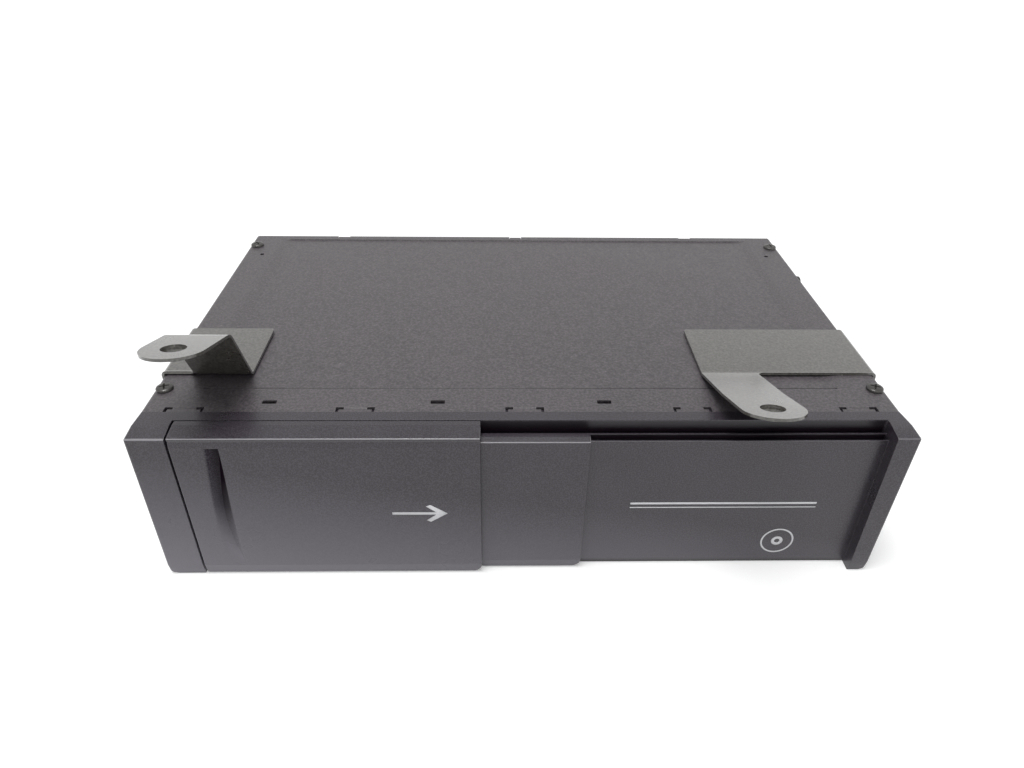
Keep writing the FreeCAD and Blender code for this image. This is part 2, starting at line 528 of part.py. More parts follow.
def make_bezel():
    """The moulded front: end caps, fixed right panel, door tracks, opening and rear skirt."""
    p = Piece("front_bezel")
    p.add("YZ", "-bezel_half", "bezel_half",
          poly(("bezel_back", "0"), ("bezel_back", "crown"), ("front + crown_run", "crown"),
               ("front", "brow"), ("front", "bevel_height"), ("front + bevel_setback", "0")))
    p.ease("Fillet", "edge_round", lambda e, m: (along(e, "x") and near(m.z, "brow"))
           or (near(abs(m.x), "bezel_half") and not along(e, "y") and m.y < value("front + 1"))
           or (near(abs(m.x), "bezel_half") and m.z > value("brow - 1") and m.y < value("bezel_back - 1")))
    p.cut("XZ", "front - 1", "bezel_back + 1", *[corner(s, "bezel_half", "cap_corner") for s in (-1, 1)])
    low = "bevel_height - 2 * bevel_step"
    p.cut("YZ", "cap_edge", "cap_wall",
          poly(("front - 2", "-2"), ("fixed_front + bevel_setback", "-2"), ("fixed_front + bevel_setback", "0"),
               ("fixed_front", low), ("fixed_front", "fixed_top"), ("groove_front", "fixed_top"),
               ("groove_front", "groove_floor"), ("ridge_front", "groove_floor"), ("ridge_front", "ridge_top"),
               ("ridge_back", "ridge_top"), ("ridge_back", "groove_floor"), ("groove_back", "groove_floor"),
               ("groove_back", "crown + 2"), ("front - 2", "crown + 2")))
    p.cut("XZ", "fixed_front + fixed_wall", "bezel_back + 1",
          rect("opening_right + moulded_wall", "bezel_half - moulded_wall", "frame_low - 0.5",
               "opening_high - 0.2"))
    caps = [rect("-bezel_half + moulded_wall", "cap_edge - moulded_wall", "moulded_wall", "roof - 1.4"),
            rect("cap_wall + moulded_wall", "bezel_half - moulded_wall", "moulded_wall", "roof - 1.4")]
    p.cut("XZ", "front + moulded_wall", "bezel_back + 1", *caps)
    p.cut("XZ", "groove_back + moulded_wall", "bezel_back + 1",
          rect("opening_left", "cap_wall - moulded_wall", "groove_floor", "roof - 1.4"))
    p.add("XZ", "bezel_back - 0.5", "skirt_back",
          rect("-inner_half", "inner_half", "chassis_sheet + nest_gap", "ceiling"),
          rect("-inner_half + skirt_wall", "inner_half - skirt_wall", "chassis_sheet + nest_gap + skirt_wall",
               "ceiling - skirt_wall"))
    p.cut("XZ", "bezel_back - 0.5", "skirt_back + 1",
          rect("frame_left - 1", "frame_right + run_gap", "0", "opening_high - 0.2"))
    p.cut("XZ", "front - 1", "bezel_back + 1",
          rect("opening_left", "opening_right", "opening_low", "opening_high"))
    p.node()


def door_section(face, wall, bevel, top, lip_low, hook_back, brow_top):
    """The section of a sliding door: a bevelled wall, a top lip and a hook into its groove."""
    inner = f"{face} + {wall}"
    return poly((f"{face} + bevel_setback", "door_low"), (face, bevel), (face, brow_top),
                (f"{face} + crown_run * 0.35", top), (hook_back, top), (hook_back, "hook_low"),
                (f"{hook_back} - hook_wall", "hook_low"), (f"{hook_back} - hook_wall", lip_low),
                (inner, lip_low), (inner, bevel), (f"{inner} + bevel_setback", "door_low"))


def make_doors():
    """The outer door with its grip, and the middle door that follows it."""
    p = Piece("outer_door")
    p.add("YZ", "door_left", "door_right",
          poly(("front + bevel_setback", "door_low"), ("front", "bevel_height"), ("front", "brow"),
               ("front + crown_run", "crown"), ("door_back", "crown"), ("door_back", "hook_low"),
               ("door_back - hook_wall", "hook_low"), ("door_back - hook_wall", "door_lip_low"),
               ("door_inner", "door_lip_low"), ("door_inner", "bevel_height"),
               ("door_inner + bevel_setback", "door_low")))
    p.ease("Fillet", "edge_round", lambda e, m: along(e, "x") and near(m.z, "brow"))
    left, floor, right = ("door_left + " + g for g in ("grip_left", "grip_floor", "grip_right"))
    p.cut("XY", "grip_low", "grip_high",
          poly((left, "front - 1"), (left, "front"), (floor, "front + grip_depth"),
               (f"{right} - 0.5", "front + grip_depth"), (right, "front"), (right, "front - 1")))
    p.node()
    m = Piece("middle_door")
    m.add("YZ", "mid_left", "mid_right",
          door_section("mid_front", "mid_wall", "bevel_height - bevel_step", "mid_top",
                       "mid_top - mid_lip", "mid_hook", "mid_top - 0.6"))
    m.node()


def make_screws():
    """Cover screws, bracket bolts and the side screw."""
    group("cover_screws", [pan_screw("cover_screw", f"{s} * screw_x", y, "body_height") for s in (-1, 1)
                           for y in ("screw_front_y", "screw_rear_y")])
    bolts = [pan_screw("bracket_bolt", f"{s} * bracket_half", y, z, axis="X", sense=s, head="bolt_head",
                       tall="bolt_head_height", shank="bolt_radius", length="bolt_length")
             for s in (-1, 1) for y, z in SIDE_BOLTS]
    group("bracket_bolts", bolts)
    group("side_screw", [pan_screw("side_head", "cover_half", "side_screw_y",
                                   "body_height - side_screw_drop", axis="X")])


def make_bracket(label, side, inner, ramp, tab, lean):
    """A hanging bracket: a plate on the cover, a flange down the side and a folded tongue."""
    p = Piece(label)
    flat = lambda a, b: sorted((f"{side} * ({a})", f"{side} * ({b})"), key=value)
    plate = flat(inner, "bracket_half")
    p.add("XY", "body_height", "plate_top", rect(*plate, "bracket_y", "bracket_rear"))
    drop = f"plate_top - (bracket_blank - (bracket_half - {inner}))"
    wall = flat("cover_half", "bracket_half")
    p.add("XZ", "bracket_y", "bracket_rear", rect(*wall, drop, "plate_top"))
    p.ease("Fillet", "bracket_corner", lambda e, m: (along(e, "y") and near(abs(m.x), "bracket_half")
                                                     and near(m.z, "plate_top"))
           or (along(e, "z") and near(abs(m.x), inner) and near(m.y, "bracket_rear"))
           or (along(e, "x") and m.z < value(drop) + 0.1))
    span = flat(inner, f"{inner} + 2 * tongue_half")
    high_y = f"bracket_y - ramp_length * cos({ramp})"
    high_z = f"plate_top + ramp_length * sin({ramp})"
    thick, bend = "bracket_sheet", f"({ramp} - {tab}) / 2"
    fall = f"({ramp} + {tab}) / 2"
    p.add("YZ", *span,
          poly(("bracket_y + 1", "plate_top"), ("bracket_y + 1", "body_height"),
               (f"bracket_y - {thick} * tan({ramp} / 2)", "body_height"),
               (f"{high_y} - {thick} * sin({fall}) / cos({bend})",
                f"{high_z} - {thick} * cos({fall}) / cos({bend})"),
               (high_y, high_z), ("bracket_y", "plate_top")))
    middle = f"{side} * ({inner} + tongue_half + tongue_length * sin({lean}))"
    drop_y = f"-tongue_length * cos({lean})"
    order = span if side < 0 else span[::-1]
    x_in, x_out = (order[1], order[0])
    sk = p.sketch("XY", high_z, [tongue(x_in, x_out, middle, drop_y, "tongue_half"),
                                 disc(middle, drop_y, "tongue_hole")], at=("0", high_y), tilt=f"-({tab})")
    p.feature("Pad", sk, thick, back=True)
    p.cut("YZ", *flat("cover_half - 1", "bracket_half + 1"),
          *[disc(y, z, "bolt_radius + screw_play") for y, z in SIDE_BOLTS])
    p.node()


# ------------------------------------------------------------------ magazine
def make_magazine():
    """The magazine case: closed on three sides, with a rail under each tray."""
    p = Piece("magazine_case")
    p.add("XY", "mag_low", "mag_top", rect("mag_left", "mag_right", "mag_front", "mag_back"))
    p.ease("Fillet", "1.5", lambda e, m: along(e, "z") and near(m.x, "mag_left"))
    p.cut("YZ", "mag_left + mag_wall", "mag_right + 1",
          rect("mag_front + mag_wall", "mag_back - mag_wall", "mag_low + mag_floor", "mag_top - mag_wall"))
    rails = p.add("YZ", "mag_left + mag_wall - 0.1", "mag_right",
                  rect("mag_front + mag_wall - 0.1", "mag_front + mag_wall + rail_width",
                       "tray_low + tray_pitch - run_gap - rail_thick", "tray_low + tray_pitch - run_gap"),
                  rect("mag_back - mag_wall - rail_width", "mag_back - mag_wall + 0.1",
                       "tray_low + tray_pitch - run_gap - rail_thick", "tray_low + tray_pitch - run_gap"))
    p.row([rails], "Z", "tray_pitch", 5)
    p.cut("XZ", "mag_front - 1", "mag_front + 0.8",
          rect("mag_left + 14", "mag_left + 76", "mag_low + 9", "mag_top - 9"))
    p.cut("XY", "mag_low - 1", "mag_low + 1.4",
          rect("catch_x - 5.6", "catch_x + 2", "catch_y + catch_reach - 3.4",
               "catch_y + catch_reach + eject_stroke + 0.8"))
    p.node()


def make_tray(number):
    """A slide-out tray: a disc bed with a slot for the turntable and the pickup."""
    p = Piece(f"tray_{number}")
    p.add("XY", "0", "tray_thick", rect("-tray_half_x", "tray_half_x", "-tray_half_y", "tray_half_y"))
    p.ease("Fillet", "4", lambda e, m: along(e, "z") and m.x > 0)
    p.cut("XY", "tray_thick - bed_depth", "tray_thick + 1", disc("0", "0", "disc_bed"))
    p.cut("XY", "-1", "tray_thick + 1", slot("0", "0", "tray_half_x + tray_slot", "0", "tray_slot"))
    p.cut("XY", "-1", "tray_thick + 1", rect("-tray_half_x - 1", "-tray_half_x + 5", "tray_half_y - 9",
                                             "tray_half_y + 1"))
    p.place("tray_x", "mag_mid", f"tray_low + {number - 1} * tray_pitch")
    p.node()


# ------------------------------------------------------------------ eject button and catch
def make_eject():
    """The eject button, the catch that it turns and the catch's pivot post."""
    b = Piece("eject_button")
    b.add("XZ", "button_front", "button_front + button_depth",
          rect("button_left", "button_left + button_width", "button_low", "button_low + button_height"))
    b.ease("Fillet", "0.8", lambda e, m: near(m.y, "button_front"))
    b.add("XZ", "button_front + button_depth - 0.1", "tail_back",
          rect("button_left + 1.5", "button_left + 4.5", "button_low", "tray_low - 2 * run_gap"))
    b.add("XY", "catch_low + 0.2", "tray_low - 2 * run_gap",
          rect("button_left + 1.5", "button_left + 4.5", "tail_back - 2.5", "tail_back"))
    b.node()
    c = Piece("magazine_catch")
    c.add("XY", "catch_low", "catch_low + catch_thick", disc("catch_x", "catch_y", "3.6"))
    c.add("XY", "catch_low", "catch_low + catch_thick",
          rect("catch_x", "catch_x + catch_offset + 2.5", "catch_y - 1.8", "catch_y + 1.8"))
    c.add("XY", "catch_low", "catch_low + catch_thick",
          rect("catch_x - 1.8", "catch_x + 1.8", "catch_y", "catch_y + catch_reach"))
    c.add("XY", "catch_low + catch_thick - 0.1", "mag_low + 0.8",
          rect("catch_x - 1.3", "catch_x + 1.3", "catch_y + catch_reach - 2.4", "catch_y + catch_reach"))
    c.cut("XY", "0", "body_height", disc("catch_x", "catch_y", "1.55"))
    c.node()
    post = Piece("catch_pivot")
    post.turn("Z", ("catch_x", "catch_y", "0"), ("0", "chassis_sheet"), ("3", "chassis_sheet"),
              ("3", "catch_low - 0.1"), ("1.5", "catch_low - 0.1"), ("1.5", "bay_floor"), ("0", "bay_floor"))
    post.node()


def make_bay():
    """The magazine bay: floor, left guide wall and rear stop on four posts."""
    p = Piece("bay_frame")
    left, right = "opening_left - 1.4", "frame_left - 1"
    p.add("XY", "bay_floor", "bay_top", rect(left, right, "skirt_back + 0.5", "mag_back + 4"))
    p.add("XY", "bay_floor", "mag_top - 2", rect(left, f"{left} + 1.2", "skirt_back + 0.5", "mag_back + 4"))
    p.add("XY", "bay_floor", "mag_top - 2", rect(left, "mag_right - 4", "mag_back + 2.8", "mag_back + 4"))
    p.cut("XY", "bay_floor - 1", "bay_top + 1",
          rect("catch_x - 5.6", "catch_x + 2", "catch_y + catch_reach - 3.4", "catch_y + catch_reach + 1"),
          rect("button_left + 1", "button_left + 5", "skirt_back", "tail_back + button_travel + 1"))
    p.add("XY", "bay_top - 0.1", "mag_low - run_gap",
          rect("mag_left + 6", "mag_left + 9", "skirt_back + 3", "mag_back"),
          rect("mag_right - 24", "mag_right - 21", "skirt_back + 3", "mag_back"))
    p.node()
    posts = []
    for x in ("mag_left + 3", "mag_right - 3"):
        for y in ("skirt_back + 6", "mag_back - 2"):
            q = Piece("bay_post")
            q.turn("Z", ("0", "0", "0"), ("0", "0"), ("3.5", "0"), ("3.5", "1"), ("2.5", "1"),
                   ("2.5", "bay_floor - chassis_sheet"), ("0", "bay_floor - chassis_sheet"))
            posts.append(q.place(x, y, "chassis_sheet"))
    group("bay_posts", posts)


# ------------------------------------------------------------------ mechanism frame, slider and deck
def make_frame():
    """The mechanism frame: floor, two slotted walls and the right wall, on rubber mounts."""
    p = Piece("mechanism_frame")
    p.add("XY", "frame_low", "frame_low + frame_sheet",
          rect("frame_left", "frame_right", "wall_front", "wall_rear"))
    p.add("XZ", "wall_front", "wall_front + frame_sheet", rect("frame_left", "frame_right", "frame_low", "frame_top"))
    p.add("XZ", "wall_rear - frame_sheet", "wall_rear", rect("frame_left", "frame_right", "frame_low", "frame_top"))
    p.add("YZ", "frame_right - frame_sheet", "frame_right",
          rect("wall_front", "wall_rear", "frame_low", "frame_top"))
    pins = [slot(f"pin_left + {i} * pin_pitch", "pin_z - 0.6", f"pin_left + {i} * pin_pitch",
                 "pin_z + lift_height + 0.6", "pin_radius + 0.3") for i in (0, 1)]
    p.cut("XZ", "wall_front - 1", "wall_rear + 1", *pins)
    p.cut("YZ", "frame_right - 5", "frame_right + 1", rect("-40", "40", "deck_low + 5", "frame_top - 4"))
    p.node()
    mounts = []
    for x in ("frame_left + 10", "frame_right - 10"):
        for y in ("wall_front + 12", "wall_rear - 12"):
            q = Piece("rubber_mount")
            q.turn("Z", ("0", "0", "0"), ("0", "0"), ("6", "0"), ("6", "0.6"), ("4.6", "0.9"), ("6", "1.2"),
                   ("6", "frame_low - chassis_sheet"), ("0", "frame_low - chassis_sheet"))
            mounts.append(q.place(x, y, "chassis_sheet"))
    group("rubber_mounts", mounts)


def rack_teeth(left, right, line, base, module):
    """The outline of a rack along X whose teeth point to +Y."""
    pitch = math.pi * module
    points = [V(left, base, 0)]
    first = math.ceil((left - value("lift_x")) / pitch)
    last = math.floor((right - value("lift_x")) / pitch)
    root, tip = line - module, line + 0.8 * module
    points.append(V(left, root, 0))
    for i in range(first + 1, last):
        middle = value("lift_x") + i * pitch
        for x, y in ((-0.24 * pitch, root), (-0.12 * pitch, tip), (0.12 * pitch, tip), (0.24 * pitch, root)):
            points.append(V(middle + x, y, 0))
    points += [V(right, root, 0), V(right, base, 0)]
    return points


def make_slider():
    """The lift slider: two walls with sloping slots, a floor strap and a rack."""
    p = Piece("lift_slider")
    walls = [("slide_front", "slide_front + slider_sheet"), ("slide_rear - slider_sheet", "slide_rear")]
    for low, high in walls:
        p.add("XZ", low, high, rect("slider_left", "slider_right", "slider_low", "slider_top"))
    p.add("XY", "slider_low", "slider_low + slider_sheet",
          rect("slider_left", "slider_right", "slide_front", "slide_rear"))
    p.add("XY", "slider_low", "slider_low + slider_sheet",
          rect("lift_x - lift_height - 8", "slider_left + 1", "rack_line - 7", "rack_line - rack_module - 0.6"))
    ramps = [slot(f"pin_left + {i} * pin_pitch", "pin_z", f"pin_left + {i} * pin_pitch - lift_height",
                  "pin_z + lift_height", "pin_radius + 0.3") for i in (0, 1)]
    p.cut("XZ", "slide_front - 1", "slide_rear + 1", *ramps)
    p.cut("XY", "slider_low - 1", "slider_low + slider_sheet + 1",
          rect("slider_left + 12", "slider_right - 10", "slide_front + 16", "slide_rear - 16"))
    points = rack_teeth(value("lift_x - lift_height - 8"), value("lift_x + 6"), value("rack_line"),
                        value("rack_line - 4"), value("rack_module"))
    face = Part.Face(Part.makePolygon(points + points[:1]))
    face.translate(V(0, 0, value("slider_low")))
    rack = DOC.addObject("Part::Feature", "slider_rack")
    rack.Shape = face.extrude(V(0, 0, value("slider_sheet + 1.2")))
    whole = DOC.addObject("Part::MultiFuse", "lift_slider_whole")
    whole.Label = "lift_slider_whole"
    whole.Shapes = [p.body, rack]
    NODES["lift_slider"] = whole


def gear_shape(teeth, module, low, high, phase, bore=0.0):
    """A spur gear with slightly thinned straight-flanked teeth; phase is a tooth's direction."""
    pitch, root, tip = module * teeth / 2, module * (teeth / 2 - 1.15), module * (teeth / 2 + 0.8)
    step = 2 * math.pi / teeth
    points = []
    for i in range(int(teeth)):
        middle = math.radians(phase) + i * step
        for turn, radius in ((-0.26, root), (-0.11, tip), (0.11, tip), (0.26, root)):
            angle = middle + turn * step
            points.append(V(radius * math.cos(angle), radius * math.sin(angle), low))
    body = Part.Face(Part.makePolygon(points + points[:1])).extrude(V(0, 0, high - low))
    if bore > 0:
        body = body.cut(Part.makeCylinder(bore, high - low + 2, V(0, 0, low - 1)))
    return body


def gear_node(label, shapes, x, y, z="0", axis="Z"):
    """A gear of one or more steps, placed by bound formulas."""
    whole = shapes[0]
    for extra in shapes[1:]:
        whole = whole.fuse(extra)
    made = solid(label, whole)
    if axis == "X":
        made.Placement = FreeCAD.Placement(V(0, 0, 0), FreeCAD.Rotation(V(0, 1, 0), 90))
    for name, formula in zip("xyz", (x, y, z)):
        made.setExpression(f"Placement.Base.{name}", bound(formula))


def make_lift_train():
    """The lift motor and the two compound gears that drive the rack."""
    angle = value("train_angle")
    n_lift, n_wheel, n_pin = (value(n) for n in ("lift_teeth", "wheel_teeth", "pinion_teeth"))
    low = value("slider_low")
    first = low + value("pinion_face")
    second = first + value("train_step")
    top = second + value("wheel_face")
    gear_node("lift_gear_low",
              [gear_shape(n_lift, value("rack_module"), low, first, 270 + 180 / n_lift, 1.3),
               gear_shape(n_wheel, value("fine_module"), first - 0.1, first + value("wheel_face"), angle, 1.3)],
              "lift_x", "lift_y")
    n_top, n_motor = value("top_wheel_teeth"), value("top_pinion_teeth")
    gear_node("lift_gear_high",
              [gear_shape(n_pin, value("fine_module"), first - 0.3, second + 0.1, angle + 180 + 180 / n_pin, 1.0),
               gear_shape(n_top, value("top_module"), second, top, angle, 1.0)],
              "gear_a_x", "gear_a_y")
    shaft = Part.makeCylinder(0.5, top - second + 0.8, V(0, 0, second - 0.2))
    gear_node("lift_motor_pinion",
              [gear_shape(n_motor, value("top_module"), second, top + 0.2, angle + 180 + 180 / n_motor), shaft],
              "lift_motor_x", "lift_motor_y")
    plate = Piece("gear_plate")
    plate.add("XY", "chassis_sheet", "chassis_sheet + 1",
              rect("lift_motor_x - 11", "lift_x + 8", "lift_y - 1.5", "lift_motor_y + 10"))
    for x, y, r, top in (("lift_x", "lift_y", "1.25", "slider_low + 5.2"),
                         ("gear_a_x", "gear_a_y", "0.95", "slider_low + 7.8")):
        plate.turn("Z", (x, y, "0"), ("0", "chassis_sheet + 0.9"), ("2.4", "chassis_sheet + 0.9"),
                   ("2.4", "slider_low - 0.3" if x == "lift_x" else "slider_low + 2.8"),
                   (r, "slider_low - 0.3" if x == "lift_x" else "slider_low + 2.8"), (r, top), ("0", top))
    plate.node()
    motor = Piece("lift_motor")
    motor.turn("Z", ("lift_motor_x", "lift_motor_y", "0"), ("0", "chassis_sheet + 1"), ("8", "chassis_sheet + 1"),
               ("8", "slider_low + 4.6"), ("2.5", "slider_low + 4.6"), ("2.5", "slider_low + 5.2"),
               ("0", "slider_low + 5.2"))
    motor.node()


def make_deck():
    """The lifting deck with its turntable, motor, sled, screw drive and tray feed."""
    p = Piece("deck_plate")
    p.add("XY", "deck_low", "deck_low + deck_sheet", rect("frame_left + 1", "deck_right", "deck_front", "deck_rear"))
    flange = [("deck_front", "deck_front + deck_sheet"), ("deck_rear - deck_sheet", "deck_rear")]
    for low, high in flange:
        p.add("XZ", low, high, rect("pin_left - 8", "pin_left + pin_pitch + 8", "deck_low - 6", "deck_low + 0.5"))
    p.cut("XY", "deck_low - 1", "deck_low + deck_sheet + 1",
          disc("spindle_x", "mag_mid", "2"),
          rect("lens_x - 11", "lens_x + sled_travel + 11", "mag_mid - 11", "mag_mid + 11"),
          rect("drive_face - 3", "deck_right + 1", "screw_y - 14", "screw_y + 6"))
    p.add("YZ", "drive_face", "drive_face + 1", rect("screw_y - 16", "screw_y + 8", "6.5", "deck_low + 5.5"))
    p.cut("YZ", "drive_face - 1", "drive_face + 2", disc("screw_y", "rod_height", "1.06"),
          disc("sled_motor_y", "sled_motor_z", "2"))
    p.node()
    pins = []
    for i in (0, 1):
        for y, sense in (("deck_front", -1), ("deck_rear", 1)):
            q = Piece("lift_pin")
            reach = "slider_gap + slider_sheet + slider_gap + frame_sheet + 0.4"
            q.turn("Y", ("0", "0", "0"), ("0", "0"), ("pin_radius", "0"),
                   ("pin_radius", f"{sense} * ({reach})"), ("0", f"{sense} * ({reach})"))
            pins.append(q.place(f"pin_left + {i} * pin_pitch", y, "pin_z"))
    group("lift_pins", pins)
    m = Piece("spindle_motor")
    m.turn("Z", ("spindle_x", "mag_mid", "0"), ("0", "motor_low"), ("motor_radius - 1", "motor_low"),
           ("motor_radius", "motor_low + 1"), ("motor_radius", "deck_low - 0.02"), ("0", "deck_low - 0.02"))
    m.node()
    t = Piece("turntable")
    low = "turntable_low"
    t.turn("Z", ("spindle_x", "mag_mid", "0"), ("0", "deck_low + 0.5"), ("spindle_radius", "deck_low + 0.5"),
           ("spindle_radius", low), ("turntable_radius", low), ("turntable_radius", f"{low} + 1.8"),
           ("hub_radius + 0.6", f"{low} + 1.8"), ("hub_radius + 0.6", f"{low} + 1.4"),
           ("hub_radius", f"{low} + 1.4"), ("hub_radius", "hub_top - 1.2"), ("hub_radius - 1.4", "hub_top"),
           ("0", "hub_top"))
    t.node()
    rods = []
    for s in (-1, 1):
        q = Piece("guide_rod")
        q.turn("X", ("0", "0", "0"), ("0", "0"), ("rod_radius", "0"), ("rod_radius", "sled_travel + 26"),
               ("0", "sled_travel + 26"))
        rods.append(q.place("lens_x - 13", f"mag_mid + {s} * rod_spread", "rod_height"))
    group("guide_rods", rods)
    clips = []
    for s in (-1, 1):
        for x in ("lens_x - 13", "lens_x + sled_travel + 10"):
            q = Piece("rod_clip")
            q.add("YZ", "0", "3", rect("-3", "3", "-rod_radius - 0.9", "deck_low - rod_height"),
                  disc("0", "0", "rod_radius + 0.01"))
            clips.append(q.place(x, f"mag_mid + {s} * rod_spread", "rod_height"))
    group("rod_clips", clips)
    s = Piece("pickup_sled")
    s.add("XY", "rod_height - 2.3", "deck_low - 0.4",
          rect("lens_x - sled_length / 2", "lens_x + sled_length / 2", "screw_y + lead_radius + 0.5",
               "mag_mid + rod_spread + 3.2"))
    s.add("XY", "deck_low - 0.5", "deck_low + 2", rect("lens_x - 8", "lens_x + 8", "mag_mid - 8.5", "mag_mid + 8.5"))
    s.cut("YZ", "lens_x - sled_length", "lens_x + sled_length",
          *[disc(f"mag_mid + {k} * rod_spread", "rod_height", "rod_radius + 0.05") for k in (-1, 1)])
    s.node()
    lens = Piece("pickup_lens")
    lens.turn("Z", ("lens_x", "mag_mid", "0"), ("0", "deck_low + 2"), ("4.5", "deck_low + 2"),
              ("4.5", "deck_low + 2.8"), ("3.2", "deck_low + 3.2"), ("2.2", "deck_low + 3.6"),
              ("0", "deck_low + 3.8"))
    lens.node()
    make_sled_drive()
    make_feed()


def make_sled_drive():
    """The lead screw, its wheel, the sled motor and its pinion."""
    length = value("drive_face - (lens_x - 12)")
    facing = value("drive_angle") + 90
    module, high = value("top_module"), length - 0.4
    screw = Part.makeCylinder(value("lead_radius"), length - 2.2)
    tail = Part.makeCylinder(1.0, length + 0.7)
    wheel = gear_shape(value("sled_wheel_teeth"), module, high - 1.5, high, facing)
    gear_node("lead_screw", [screw, tail, wheel], "lens_x - 12", "screw_y", "rod_height", axis="X")
    teeth = value("sled_pinion_teeth")
    pinion = gear_shape(teeth, module, -1.9, -0.4, facing + 180 + 180 / teeth)
    shaft = Part.makeCylinder(0.5, 2.0, V(0, 0, -1.9))
    gear_node("sled_motor_pinion", [pinion, shaft], "drive_face", "sled_motor_y", "sled_motor_z", axis="X")
    b = Piece("screw_bearing")
    b.add("YZ", "lens_x - 14", "lens_x - 12.1", rect("screw_y - 3", "screw_y + 3", "rod_height - 3", "deck_low"))
    b.node()
    m = Piece("sled_motor")
    m.turn("X", ("drive_face + 1", "sled_motor_y", "sled_motor_z"), ("0", "-0.6"), ("1.9", "-0.6"), ("1.9", "0"),
           ("5.8", "0"), ("5.8", "9.6"), ("0", "9.6"))
    m.node()


def make_feed():
    """The tray feed: two pulleys, a belt, a guide rod and the hook that draws a tray out."""
    radius, belt_y, low = 4.5, "deck_front + 10", "deck_low + deck_sheet"
    for name, x in (("feed_pulley_drive", "drive_x"), ("feed_pulley_idler", "idler_x")):
        q = Piece(name)
        q.turn("Z", (x, belt_y, low), ("1.05", "0.4"), ("5.2", "0.4"), ("5.2", "0.8"), ("4.5", "0.8"),
               ("4.5", "2.8"), ("5.2", "2.8"), ("5.2", "3.2"), ("1.05", "3.2"))
        q.node()
    posts = []
    for x in ("drive_x", "idler_x"):
        q = Piece("pulley_post")
        q.turn("Z", (x, belt_y, low), ("0", "0"), ("2.4", "0"), ("2.4", "0.3"), ("1", "0.3"), ("1", "3.5"),
               ("0", "3.5"))
        posts.append(q)
    group("pulley_posts", posts)
    belt = Piece("feed_belt")
    belt.add("XY", f"{low} + 1", f"{low} + 2.6",
             slot("drive_x", belt_y, "idler_x", belt_y, "5.2"), slot("drive_x", belt_y, "idler_x", belt_y, "4.55"))
    belt.node()
    motor = Piece("feed_motor")
    motor.turn("Z", ("drive_x", belt_y, "0"), ("0", "motor_low"), ("5", "motor_low"), ("6", "motor_low + 1"),
               ("6", "deck_low"), ("0", "deck_low"))
    motor.node()
    rod = Piece("feed_rod")
    rod.turn("X", ("frame_left + 2", "deck_front + 2.6", f"{low} + 1.9"), ("0", "0"), ("1", "0"),
             ("1", "feed_rod_length"), ("0", "feed_rod_length"))
    rod.node()
    stands = []
    for x in ("frame_left + 2", "frame_left + feed_rod_length"):
        q = Piece("feed_rod_stand")
        q.add("YZ", "0", "2", rect("-1.7", "1.7", "-1.9", "1.7"), disc("0", "0", "1.01"))
        stands.append(q.place(x, "deck_front + 2.6", f"{low} + 1.9"))
    group("feed_rod_stands", stands)
    h = Piece("tray_hook")
    h.add("XY", f"{low} + 0.3", f"{low} + 3.6",
          rect("frame_left + 5", "frame_left + 12", "deck_front + 0.6", "deck_front + 4.4"))
    h.add("XY", f"{low} + 3.5", "hub_top", rect("frame_left + 5", "frame_left + 7", "deck_front + 1.2",
                                               "deck_front + 3.6"))
    h.cut("YZ", "frame_left", "frame_left + 20", disc("deck_front + 2.6", f"{low} + 1.9", "1.06"))
    h.node()


